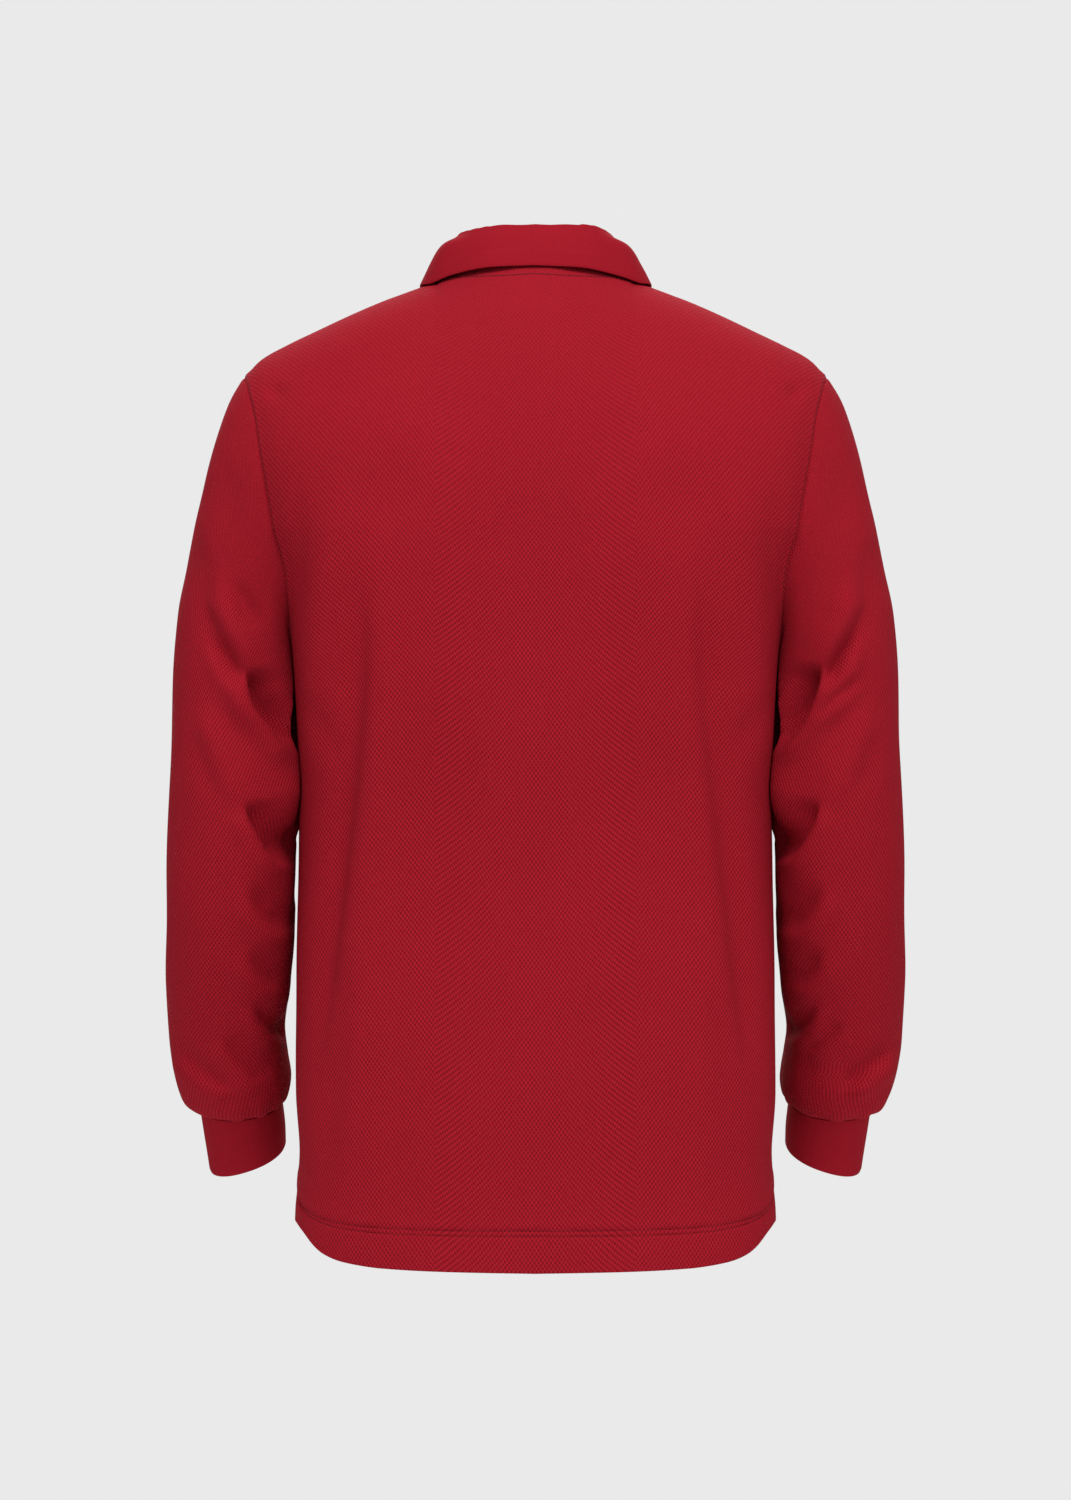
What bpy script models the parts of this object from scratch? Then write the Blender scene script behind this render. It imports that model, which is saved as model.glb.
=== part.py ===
"""Long-sleeve polo shirt in knitted pique, filled out as if worn, with nobody in it.

Metres, +Z up. The front faces -Y, the back +Y, and the wearer's left sleeve is at +X.
The origin lies between the two neck points, at the height of the high points of the shoulders.
Each panel is one wall of cloth through sections worked out from the sizes below.
"""

import math
from collections import namedtuple

import bpy
import numpy as np
from mathutils import Matrix, Vector
from mathutils.bvhtree import BVHTree

COLLECTION = "long_sleeve_polo_shirt"

# Cloth
CLOTH = 0.0015
HEM_CLOTH = 0.0028
CUFF_CLOTH = 0.0020
COLLAR_CLOTH = 0.0018
SEAM_GAP = 0.0003
ARMHOLE_GAP = 0.00036

# Body
SHOULDER_LINE_Y = -0.008
NECK_POINT_X = 0.074
BACK_NECK_DEPTH = 0.070
FRONT_NECK_DEPTH = 0.070
BACK_BLADE_Z = -0.185
FRONT_CHEST_Z = -0.235
BACK_ROUNDING = 2.2
FRONT_ROUNDING_CENTRE = 1.28
FRONT_ROUNDING_SHOULDER = 1.75
HEM_DROP = 0.0285
HEM_DROP_POWER = 3.2
HEM_CORNER = 0.05
HEM_LEVELS_OUT = (0.05, 0.26)
FRONT_ROUNDING_SPAN = (0.06, 0.19)
SEAM_ROW_BEND = 2.5
NECK_COLUMNS = 6
SIDE_COLUMNS = 7

# Placket and buttons
PLACKET_WIDTH = 0.033
PLACKET_PROUD = 0.0006
PLACKET_CLOTH = 0.0016
UNDER_PLACKET_DEPTH = 0.0013
BUTTON_RADIUS = 0.00575
BUTTON_THICKNESS = 0.0026
BUTTON_COUNT = 3
FIRST_BUTTON_DOWN = 0.022
BUTTON_SPACING = 0.052

# Collar
COLLAR_FRONT_GAP = 0.003
COLLAR_CLEARANCE = 0.0012
COLLAR_FOOT_GAP = 0.00039
FOLD_BEFORE = 0.0020
FOLD_OUT = 0.0016
FOLD_UP = 0.0006
FOLD_AFTER = 0.0042
FOLD_SINK = 0.0006

# Sleeves and cuffs
SLEEVE_RINGS = 27
CUFF_RINGS = 4
ARMHOLE_BLEND_RINGS = 8
MEAN_SLEEVE_GIRTH = 0.36

# Walls that meet at an angle lean towards each other between these two cosines, and a wall's
# thickness along its lean is held to this least cosine.
LEAN_COSINES = (-0.3, 0.4)
LEAST_COSINE = 0.6

SHARP_ANGLE = math.radians(50)
MERGE_DISTANCE = 0.00001

# Points used to measure along a curved outline
OUTLINE_STEPS = 300
RECESS_STEPS = 60
RING_STEPS = 1440

# Half sections of the body: widest_back and widest_front are the largest x, at widest_y behind
# and in front of the side seam, which lies at seam_x. Back and front are the depths at the middle.
TorsoRow = namedtuple("TorsoRow", "z widest_back widest_front widest_y seam_x back front square")
TORSO = (
    TorsoRow(-0.704, 0.1820, 0.1820, 0.000, 0.1820, 0.127, 0.125, 2.9),
    TorsoRow(-0.675, 0.1803, 0.1803, 0.000, 0.1803, 0.126, 0.125, 2.9),
    TorsoRow(-0.645, 0.1787, 0.1787, 0.000, 0.1787, 0.125, 0.125, 2.9),
    TorsoRow(-0.600, 0.1815, 0.1815, 0.000, 0.1815, 0.124, 0.126, 2.9),
    TorsoRow(-0.521, 0.1813, 0.1813, 0.000, 0.1813, 0.121, 0.128, 2.8),
    TorsoRow(-0.442, 0.1797, 0.1797, 0.000, 0.1797, 0.119, 0.130, 2.7),
    TorsoRow(-0.405, 0.1788, 0.1788, 0.005, 0.1787, 0.120, 0.131, 2.7),
    TorsoRow(-0.375, 0.1776, 0.1776, 0.013, 0.1772, 0.122, 0.133, 2.7),
    TorsoRow(-0.335, 0.1787, 0.1783, 0.027, 0.1770, 0.126, 0.136, 2.7),
    TorsoRow(-0.300, 0.1803, 0.1795, 0.036, 0.1782, 0.129, 0.138, 2.7),
    TorsoRow(-0.272, 0.1822, 0.1797, 0.041, 0.1788, 0.131, 0.139, 2.7),
    TorsoRow(-0.246, 0.1845, 0.1795, 0.044, 0.1790, 0.133, 0.139, 2.7),
    TorsoRow(-0.216, 0.1893, 0.1795, 0.048, 0.1790, 0.134, 0.139, 2.7),
    TorsoRow(-0.185, 0.1995, 0.1795, 0.050, 0.1790, 0.134, 0.138, 2.7),
)
LOWER_HEIGHTS = (0, 0.027, 0.031, 0.064, 0.100, 0.140, 0.182, 0.224, 0.265, 0.302, 0.336, 0.370, 0.404)

# The armhole from the underarm to the blade or chest line: the seam's distance behind or in
# front of the side.
SeamPoint = namedtuple("SeamPoint", "z y")
BACK_ARMHOLE = (
    SeamPoint(-0.300, 0.000),
    SeamPoint(-0.291, 0.025),
    SeamPoint(-0.272, 0.046),
    SeamPoint(-0.246, 0.062),
    SeamPoint(-0.216, 0.073),
    SeamPoint(-0.185, 0.080),
)
FRONT_ARMHOLE = (
    SeamPoint(-0.300, 0.000),
    SeamPoint(-0.292, 0.023),
    SeamPoint(-0.276, 0.041),
    SeamPoint(-0.256, 0.055),
    SeamPoint(-0.235, 0.066),
)

# The armhole above that line, where the seam cuts the section's outline at hull_y.
# Rise runs from 0 at the line to 90 degrees on the shoulder seam.
RiseRow = namedtuple("RiseRow", "rise hull_y widest")
BACK_ARMHOLE_TOP = (
    RiseRow(0, 0.080, 0.1995),
    RiseRow(20, 0.080, 0.2087),
    RiseRow(40, 0.080, 0.2155),
    RiseRow(50, 0.080, 0.2192),
    RiseRow(62, 0.080, 0.2226),
    RiseRow(75, 0.080, 0.2257),
    RiseRow(90, 0.080, 0.2276),
)
FRONT_ARMHOLE_TOP = (
    RiseRow(0, 0.066, 0.1795),
    RiseRow(10, 0.076, 0.1810),
    RiseRow(25, 0.088, 0.1870),
    RiseRow(40, 0.092, 0.1972),
    RiseRow(50, 0.092, 0.2085),
    RiseRow(60, 0.092, 0.2200),
    RiseRow(75, 0.092, 0.2325),
    RiseRow(90, 0.092, 0.2370),
)
BACK_TOP_ROWS = 9
FRONT_TOP_ROWS = 10

# Height of the shoulder ridge at a distance from the middle.
RidgePoint = namedtuple("RidgePoint", "x z")
RIDGE = (
    RidgePoint(0.000, 0.0338),
    RidgePoint(0.040, 0.0235),
    RidgePoint(0.074, 0.0066),
    RidgePoint(0.093, -0.0008),
    RidgePoint(0.1136, -0.0084),
    RidgePoint(0.1402, -0.0198),
    RidgePoint(0.1645, -0.0312),
    RidgePoint(0.1881, -0.0426),
    RidgePoint(0.2086, -0.0540),
    RidgePoint(0.2193, -0.0650),
    RidgePoint(0.2223, -0.0680),
    RidgePoint(0.2300, -0.0780),
)

# Long soft folds of the body panels, from (x, z) to (x, z), mirrored left and right.
BodyFold = namedtuple("BodyFold", "side x0 z0 x1 z1 depth width")
BODY_FOLDS = (
    BodyFold("back", 0.128, -0.230, 0.144, -0.400, -0.0045, 0.017),
    BodyFold("back", 0.144, -0.400, 0.166, -0.590, -0.0045, 0.017),
    BodyFold("back", 0.106, -0.190, 0.138, -0.450, 0.0020, 0.016),
    BodyFold("front", 0.120, -0.220, 0.146, -0.420, -0.0045, 0.018),
    BodyFold("front", 0.146, -0.420, 0.160, -0.600, -0.0040, 0.018),
)

# Sleeve sections: the outer and inner points of each ring, its middle's y, half its depth,
# and how far its back edge tips down.
SleeveRow = namedtuple("SleeveRow", "outer_x outer_z inner_x inner_z middle_y depth tip square")
SLEEVE = (
    SleeveRow(0.2223, -0.0680, 0.1786, -0.3000, 0.000, 0.0790, 0, 2.3),
    SleeveRow(0.2325, -0.0860, 0.1793, -0.3045, 0.000, 0.0785, 0, 2.3),
    SleeveRow(0.2413, -0.1110, 0.1797, -0.3095, 0.001, 0.0780, 0, 2.3),
    SleeveRow(0.2474, -0.1338, 0.1800, -0.3150, 0.002, 0.0775, 0, 2.3),
    SleeveRow(0.2523, -0.1566, 0.1802, -0.3215, 0.002, 0.0770, 0, 2.3),
    SleeveRow(0.2573, -0.1790, 0.1803, -0.3290, 0.003, 0.0765, 0, 2.3),
    SleeveRow(0.2641, -0.2136, 0.1804, -0.3390, 0.004, 0.0755, 0, 2.3),
    SleeveRow(0.2710, -0.2478, 0.1805, -0.3510, 0.005, 0.0745, 0, 2.3),
    SleeveRow(0.2747, -0.2934, 0.1806, -0.3690, 0.006, 0.0725, 0, 2.3),
    SleeveRow(0.2757, -0.3390, 0.1809, -0.3930, 0.007, 0.0700, 3, 2.3),
    SleeveRow(0.2778, -0.3846, 0.1820, -0.4230, 0.005, 0.0670, 9, 2.3),
    SleeveRow(0.2797, -0.4300, 0.1828, -0.4550, 0.000, 0.0640, 15, 2.3),
    SleeveRow(0.2806, -0.4760, 0.1840, -0.4900, -0.011, 0.0610, 19, 2.3),
    SleeveRow(0.2824, -0.5225, 0.1875, -0.5300, -0.027, 0.0585, 21, 2.3),
    SleeveRow(0.2820, -0.5660, 0.1930, -0.5660, -0.044, 0.0560, 21, 2.3),
    SleeveRow(0.2800, -0.5870, 0.1912, -0.5870, -0.052, 0.0555, 21, 2.3),
    SleeveRow(0.2762, -0.6057, 0.1892, -0.6030, -0.059, 0.0530, 20, 2.3),
    SleeveRow(0.2709, -0.6180, 0.1920, -0.6165, -0.064, 0.0465, 19, 2.3),
    SleeveRow(0.2605, -0.6248, 0.1965, -0.6210, -0.068, 0.0370, 18, 2.2),
)
CUFF = (
    SleeveRow(0.2602, -0.6256, 0.1967, -0.6218, -0.0685, 0.0365, 18, 2.2),
    SleeveRow(0.2585, -0.6400, 0.1956, -0.6325, -0.0740, 0.0355, 18, 2.2),
    SleeveRow(0.2562, -0.6580, 0.1948, -0.6455, -0.0805, 0.0348, 18, 2.2),
    SleeveRow(0.2541, -0.6753, 0.1949, -0.6580, -0.0870, 0.0340, 18, 2.2),
)

# Folds of the sleeve: turn in degrees round it (0 outside, 90 back, 180 inside, 270 front),
# share of the way down, depth, and widths round and down.
SleeveFold = namedtuple("SleeveFold", "turn0 along0 turn1 along1 depth width")
SLEEVE_FOLDS = (
    SleeveFold(128, 0.40, 172, 0.44, -0.0085, 0.016),
    SleeveFold(100, 0.36, 140, 0.47, 0.0035, 0.016),
    SleeveFold(140, 0.52, 180, 0.565, -0.0055, 0.014),
    SleeveFold(140, 0.60, 180, 0.66, -0.0045, 0.014),
    SleeveFold(135, 0.70, 178, 0.74, -0.0035, 0.013),
    SleeveFold(120, 0.80, 165, 0.86, -0.0040, 0.013),
    SleeveFold(230, 0.41, 188, 0.45, -0.0080, 0.016),
    SleeveFold(230, 0.52, 185, 0.57, -0.0055, 0.016),
    SleeveFold(225, 0.63, 185, 0.67, -0.0045, 0.015),
)

# Collar guide curves, from the centre front round to the centre back.
CollarPoint = namedtuple("CollarPoint", "share x y z")
FOLD_LINE = (
    CollarPoint(0.00, 0.0015, -0.0660, -0.0440),
    CollarPoint(0.12, 0.0200, -0.0625, -0.0390),
    CollarPoint(0.25, 0.0370, -0.0510, -0.0230),
    CollarPoint(0.40, 0.0520, -0.0310, 0.0080),
    CollarPoint(0.52, 0.0575, -0.0080, 0.0340),
    CollarPoint(0.64, 0.0560, 0.0150, 0.0430),
    CollarPoint(0.78, 0.0430, 0.0390, 0.0425),
    CollarPoint(0.90, 0.0210, 0.0510, 0.0415),
    CollarPoint(1.00, 0.0000, 0.0540, 0.0410),
)
LEAF_EDGE = (
    CollarPoint(0.00, 0.0470, -0.1120, -0.1080),
    CollarPoint(0.12, 0.0570, -0.1040, -0.0900),
    CollarPoint(0.25, 0.0690, -0.0870, -0.0680),
    CollarPoint(0.40, 0.0820, -0.0500, -0.0320),
    CollarPoint(0.46, 0.0860, -0.0290, -0.0110),
    CollarPoint(0.52, 0.0880, -0.0080, 0.0040),
    CollarPoint(0.58, 0.0860, 0.0110, 0.0055),
    CollarPoint(0.64, 0.0815, 0.0270, 0.0068),
    CollarPoint(0.78, 0.0620, 0.0540, 0.0085),
    CollarPoint(0.90, 0.0320, 0.0680, 0.0090),
    CollarPoint(1.00, 0.0000, 0.0725, 0.0090),
)

# The collar between its foot and its fold, and between its fold and its edge: share of the way,
# and how far the cloth stands in from the straight line.
CollarRow = namedtuple("CollarRow", "share inside")
STAND_ROWS = (
    CollarRow(0.06, 0.0030),
    CollarRow(0.42, 0.0028),
    CollarRow(0.80, 0.0012),
)
FALL_ROWS = (
    CollarRow(0.32, 0.0020),
    CollarRow(0.66, 0.0016),
)

# Half of a turned button, as shares of its radius and thickness: down its outer side, with a
# dished face.
ProfilePoint = namedtuple("ProfilePoint", "out up")
BUTTON_PROFILE = (
    ProfilePoint(0.00, 0.72),
    ProfilePoint(0.50, 0.72),
    ProfilePoint(0.66, 0.96),
    ProfilePoint(0.80, 1.00),
    ProfilePoint(0.95, 0.86),
    ProfilePoint(1.00, 0.55),
    ProfilePoint(0.90, 0.15),
    ProfilePoint(0.70, 0.00),
    ProfilePoint(0.00, 0.00),
)
BUTTON_STEPS = 16

# Colour, roughness and metallic value of each finish
FINISHES = {
    "pique_red": ((0.300, 0.012, 0.022), 0.85, 0.0),
    "rib_red": ((0.330, 0.012, 0.024), 0.80, 0.0),
    "button_red": ((0.260, 0.010, 0.018), 0.35, 0.0),
}


# --- curves through the tables ---


def column(table, name):
    """One named column of a table."""
    return np.array([getattr(row, name) for row in table], float)


def through(at, xs, ys):
    """A smooth curve through (xs, ys) that never overshoots its points."""
    at = np.clip(np.asarray(at, float), xs[0], xs[-1])
    steps = np.diff(xs)
    slopes = np.diff(ys) / steps
    tangent = np.zeros(len(xs))
    same_way = slopes[:-1] * slopes[1:] > 0
    before, after = slopes[:-1], slopes[1:]
    weight_a = 2 * steps[1:] + steps[:-1]
    weight_b = steps[1:] + 2 * steps[:-1]
    safe = np.where(same_way, before, 1), np.where(same_way, after, 1)
    middle = (weight_a + weight_b) / (weight_a / safe[0] + weight_b / safe[1])
    tangent[1:-1] = np.where(same_way, middle, 0)
    tangent[0], tangent[-1] = slopes[0], slopes[-1]
    i = np.clip(np.searchsorted(xs, at, side="right") - 1, 0, len(xs) - 2)
    t = (at - xs[i]) / steps[i]
    rise = ys[i] * (1 + 2 * t) * (1 - t) ** 2 + ys[i + 1] * t * t * (3 - 2 * t)
    bend = steps[i] * (tangent[i] * t * (1 - t) ** 2 - tangent[i + 1] * t * t * (1 - t))
    return rise + bend


def from_table(at, table, key, name):
    return through(at, column(table, key), column(table, name))


def smooth_step(value, low, high):
    t = np.clip((np.asarray(value, float) - low) / (high - low), 0, 1)
    return t * t * (3 - 2 * t)


def unit(vectors):
    length = np.linalg.norm(vectors, axis=-1, keepdims=True)
    return vectors / np.maximum(length, 1e-12)


def power(value, exponent):
    """A power that keeps the sign."""
    return np.sign(value) * np.abs(value) ** exponent


# --- body panels ---


def ridge_height(x):
    """The shoulder ridge, level where it crosses the middle."""
    mirrored = [RidgePoint(-row.x, row.z) for row in reversed(RIDGE[1:])]
    table = mirrored + list(RIDGE)
    return from_table(x, table, "x", "z")


def hull_section(widest, widest_y, seam_x, depth, square):
    """Half a section: from the middle (0, depth) round the widest point in to (seam_x, 0)."""
    angle = np.linspace(0, math.pi / 2, OUTLINE_STEPS)
    x = widest * np.sin(angle) ** (2 / square)
    y = widest_y + (depth - widest_y) * np.cos(angle) ** (2 / square)
    if widest_y > 0:
        inner_y = np.linspace(widest_y, 0, RECESS_STEPS)[1:]
        recess = ((widest_y - inner_y) / widest_y) ** 2
        x = np.concatenate([x, widest - (widest - seam_x) * recess])
        y = np.concatenate([y, inner_y])
    length = np.concatenate([[0], np.cumsum(np.hypot(np.diff(x), np.diff(y)))])
    return x, y, length


def torso_sizes(z, names):
    return [float(from_table(z, TORSO, "z", name)) for name in names]


def torso_section(z, side):
    return hull_section(*torso_sizes(z, (f"widest_{side}", "widest_y", "seam_x", side, "square")))


def column_lengths(section, neck_x, cut_y):
    """Places of the columns along a section: set distances near the middle, then even lengths."""
    x, y, length = section
    near = np.interp(neck_x, x[: int(np.argmax(x)) + 1], length[: int(np.argmax(x)) + 1])
    end = np.interp(-cut_y, -y, length)
    return np.concatenate([near, np.linspace(near[-1], end, SIDE_COLUMNS + 1)[1:]])


def at_length(section, along):
    x, y, length = section
    return np.interp(along, length, x), np.interp(along, length, y)


def neck_columns(top_share):
    """Distances of the neck columns from the middle: even below, along the neckline's arc on top."""
    first = PLACKET_WIDTH / 2
    even = np.linspace(first, NECK_POINT_X, NECK_COLUMNS)
    start = math.asin(first / NECK_POINT_X)
    arc = NECK_POINT_X * np.sin(np.linspace(start, math.pi / 2, NECK_COLUMNS))
    blend = top_share**2
    return np.concatenate([[0], even * (1 - blend) + arc * blend])


def lower_row(height, side):
    """Half a section of the body below the underarm, from the middle to the side seam."""
    z_side = TORSO[0].z + height
    section = torso_section(z_side, side)
    along = column_lengths(section, neck_columns(0), cut_y=0.0)
    x, y = at_length(section, along)
    fade = 1 - smooth_step(height, *HEM_LEVELS_OUT)
    from_side = 1 - along / along[-1]
    from_side = from_side**2 / (from_side + HEM_CORNER)
    z = z_side - HEM_DROP * fade * (1 - (1 - from_side) ** HEM_DROP_POWER)
    return np.stack([x, y, z], axis=1)


def seam_row(step, side):
    """Half a row between the underarm and the blade or chest line, its middle dropping
    evenly while its end follows the armhole."""
    armhole = BACK_ARMHOLE if side == "back" else FRONT_ARMHOLE
    seam = armhole[step]
    low, high = armhole[0].z, armhole[-1].z
    middle_z = low + (high - low) * step / (len(armhole) - 1)
    along = column_lengths(torso_section(seam.z, side), neck_columns(0), seam.y)
    z = middle_z + (seam.z - middle_z) * (along / along[-1]) ** SEAM_ROW_BEND
    places = [at_length(torso_section(z[j], side), along[j]) for j in range(len(along))]
    return np.array([(x, y, z[j]) for j, (x, y) in enumerate(places)])


def rounding(x, side):
    """How square the body is seen from the side, between that line and the shoulder."""
    if side == "back":
        return np.full(len(x), BACK_ROUNDING)
    share = smooth_step(x, *FRONT_ROUNDING_SPAN)
    return FRONT_ROUNDING_CENTRE + (FRONT_ROUNDING_SHOULDER - FRONT_ROUNDING_CENTRE) * share


def top_row(share, side):
    """Half a row between the blade or chest line (0) and the neckline and shoulder seam (1)."""
    table = BACK_ARMHOLE_TOP if side == "back" else FRONT_ARMHOLE_TOP
    base_z = BACK_BLADE_Z if side == "back" else FRONT_CHEST_Z
    neck_depth = BACK_NECK_DEPTH if side == "back" else FRONT_NECK_DEPTH
    back_way = 1 if side == "back" else -1
    rise = 90 * share
    widest_y, depth, square = torso_sizes(base_z, ("widest_y", side, "square"))
    cut_y, widest = (float(from_table(rise, table, "rise", n)) for n in ("hull_y", "widest"))
    section = hull_section(widest, widest_y, widest, depth, square)
    x, y = at_length(section, column_lengths(section, neck_columns(share), cut_y))
    shoulder_y = SHOULDER_LINE_Y * back_way
    reach = y - shoulder_y
    round_by = rounding(x, side)
    inside = np.clip(1 - (np.minimum(x, NECK_POINT_X) / NECK_POINT_X) ** 2, 0, 1)
    neck_share = (neck_depth * np.sqrt(inside) / reach) ** (round_by / 2)
    highest = np.arccos(np.clip(neck_share, 0, 1))
    angle = highest * share
    y = shoulder_y + reach * np.cos(angle) ** (2 / round_by)
    z = base_z + (ridge_height(x) - base_z) * np.sin(angle) ** (2 / round_by)
    return np.stack([x, y, z], axis=1)


def half_panel(side):
    """Rows from the hem to the shoulder, each from the middle to the side seam or armhole."""
    armhole = BACK_ARMHOLE if side == "back" else FRONT_ARMHOLE
    count = BACK_TOP_ROWS if side == "back" else FRONT_TOP_ROWS
    rows = [lower_row(height, side) for height in LOWER_HEIGHTS]
    rows += [seam_row(step, side) for step in range(1, len(armhole))]
    rows += [top_row(share, side) for share in np.linspace(0, 1, count + 1)[1:]]
    return np.array(rows)


def whole_panel(side):
    """Both halves in one grid, with -x first, on its own side of the body."""
    half = half_panel(side)
    left = half.copy()
    if side == "front":
        left[..., 1] *= -1
    right = left[:, :0:-1] * np.array([-1, 1, 1])
    return np.concatenate([right, left], axis=1)


def segment_distance(px, pz, fold, sign):
    """Distance from each point to a fold's line, and the share of the way along it."""
    start = np.array([fold.x0 * sign, fold.z0])
    run = np.array([fold.x1 * sign, fold.z1]) - start
    share = ((px - start[0]) * run[0] + (pz - start[1]) * run[1]) / (run @ run)
    held = np.clip(share, 0, 1)
    return np.hypot(px - start[0] - held * run[0], pz - start[1] - held * run[1])


def add_body_folds(grid, normals, side):
    lift = np.zeros(grid.shape[:2])
    for fold in BODY_FOLDS:
        if fold.side != side:
            continue
        for sign in (1, -1):
            far = segment_distance(grid[..., 0], grid[..., 2], fold, sign)
            lift += fold.depth * np.exp(-((far / fold.width) ** 2))
    edge = np.ones(grid.shape[1])
    edge[[0, -1]] = 0
    edge[[1, -2]] = 0.5
    return grid + normals * (lift * edge)[..., None]


# --- walls ---


def grid_normals(grid, wrap=False, flip=False):
    """Outward directions of a grid of points, rows by columns."""
    if wrap:
        ring = np.concatenate([grid[:, -1:], grid, grid[:, :1]], axis=1)
        across = (ring[:, 2:] - ring[:, :-2]) / 2
    else:
        across = np.gradient(grid, axis=1)
    down = np.gradient(grid, axis=0)
    normal = np.cross(across, down)
    return unit(-normal if flip else normal)


def grid_cells(rows, columns, wrap=False, flip=False, keep=None):
    """Four-sided faces of a grid of points, turned outwards."""
    cells = []
    for r in range(rows - 1):
        for c in range(columns if wrap else columns - 1):
            if keep is not None and not keep(r, c):
                continue
            nxt = (c + 1) % columns
            cell = [r * columns + c, r * columns + nxt, (r + 1) * columns + nxt, (r + 1) * columns + c]
            cells.append(cell[::-1] if flip else cell)
    return cells


def split_cell(cell, points):
    """Two triangles of a four-sided face, cut along its shorter diagonal."""
    a, b, c, d = cell
    if np.linalg.norm(points[a] - points[c]) <= np.linalg.norm(points[b] - points[d]):
        return [a, b, c], [a, c, d]
    return [a, b, d], [b, c, d]


def wall_faces(cells, points):
    """Outer faces, inner ones cut along the same diagonals, and the rim between them."""
    count = len(points)
    faces = [triangle for cell in cells for triangle in split_cell(cell, points)]
    faces += [[v + count for v in reversed(triangle)] for triangle in faces]
    edges = {(cell[i], cell[(i + 1) % len(cell)]) for cell in cells for i in range(len(cell))}
    rim = sorted(edge for edge in edges if edge[::-1] not in edges)
    faces += [[b, a, a + count, b + count] for a, b in rim]
    return faces


def finish_material(name):
    material = bpy.data.materials.get(name)
    if material is None:
        material = bpy.data.materials.new(name)
        material.use_nodes = True
        shader = material.node_tree.nodes["Principled BSDF"]
        colour, rough, metal = FINISHES[name]
        shader.inputs["Base Color"].default_value = (*colour, 1)
        shader.inputs["Roughness"].default_value = rough
        shader.inputs["Metallic"].default_value = metal
        material.diffuse_color = (*colour, 1)
    return material


def add_object(name, points, faces, finish, collection):
    """A mesh object without the points that no face uses."""
    used = sorted({v for face in faces for v in face})
    place = {v: i for i, v in enumerate(used)}
    mesh = bpy.data.meshes.new(name)
    mesh.from_pydata([tuple(points[v]) for v in used], [], [[place[v] for v in face] for face in faces])
    mesh.materials.append(finish_material(finish))
    mesh.shade_smooth()
    mesh.set_sharp_from_angle(angle=SHARP_ANGLE)
    thing = bpy.data.objects.new(name, mesh)
    collection.objects.link(thing)
    return thing


def add_wall(name, outer, inner, cells, finish, collection):
    outer, inner = outer.reshape(-1, 3), inner.reshape(-1, 3)
    points = np.concatenate([outer, inner])
    faces = wall_faces(cells, outer)
    return add_object(name, points, faces, finish, collection)


def inward(points, normals, lean, thickness):
    """Points one thickness in along lean, which keeps the wall's thickness where it tilts."""
    cosine = np.clip((normals * lean).sum(axis=-1, keepdims=True), LEAST_COSINE, 1)
    return points - lean * thickness / cosine


def shared_lean(own, other):
    """The direction that two walls share at a seam, or their own where they face each other."""
    agree = (own * other).sum(axis=-1, keepdims=True)
    return unit(own + other * smooth_step(agree, *LEAN_COSINES))


# --- the torso: back and front ---


def cloth_thickness(rows, columns):
    """Two layers below the hem's stitching, one above."""
    thickness = np.full((rows, columns, 1), CLOTH)
    thickness[:2] = HEM_CLOTH
    return thickness


def torso_panels():
    """Grids and outward directions of the back and the front, alike along their shared seams."""
    grids = {side: whole_panel(side) for side in ("back", "front")}
    middle = grids["back"].shape[1] // 2
    sides = [(slice(0, len(LOWER_HEIGHTS)), edge) for edge in (0, -1)]
    shoulders = [(-1, slice(0, middle - NECK_COLUMNS + 1)), (-1, slice(middle + NECK_COLUMNS, None))]
    panels = {}
    for side, grid in grids.items():
        flip = side == "back"
        for shoulder in shoulders:
            grid[shoulder] = grids["back"][shoulder]
        grid = add_body_folds(grid, grid_normals(grid, flip=flip), side)
        panels[side] = [grid, grid_normals(grid, flip=flip)]
    back, front = panels["back"][1], panels["front"][1]
    for seam in sides + shoulders:
        both = unit(back[seam] + front[seam])
        back[seam] = both
        front[seam] = both
    return panels


def armhole_loop(panels, what):
    """The left armhole, from the shoulder over the back to the underarm and up the front."""
    underarm = len(LOWER_HEIGHTS) - 1
    back = panels["back"][what][underarm:, -1][::-1]
    front = panels["front"][what][underarm:, -1]
    return np.concatenate([back, front[1:-1]])


def pull_back(grid, side):
    """How far each point of a panel draws back from its seams."""
    move = np.zeros(grid.shape)
    underarm = len(LOWER_HEIGHTS) - 1
    middle = grid.shape[1] // 2
    half = SEAM_GAP / 2
    move[: underarm + 1, 0] = half * unit(grid[: underarm + 1, 1] - grid[: underarm + 1, 0])
    move[: underarm + 1, -1] = half * unit(grid[: underarm + 1, -2] - grid[: underarm + 1, -1])
    for c in range(grid.shape[1]):
        if abs(c - middle) >= NECK_COLUMNS:
            move[-1, c] += half * unit(grid[-2, c] - grid[-1, c])
    return move


def notch_row():
    """The row of the front where the placket's slit ends."""
    return len(LOWER_HEIGHTS) + len(FRONT_ARMHOLE) - 2


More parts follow.
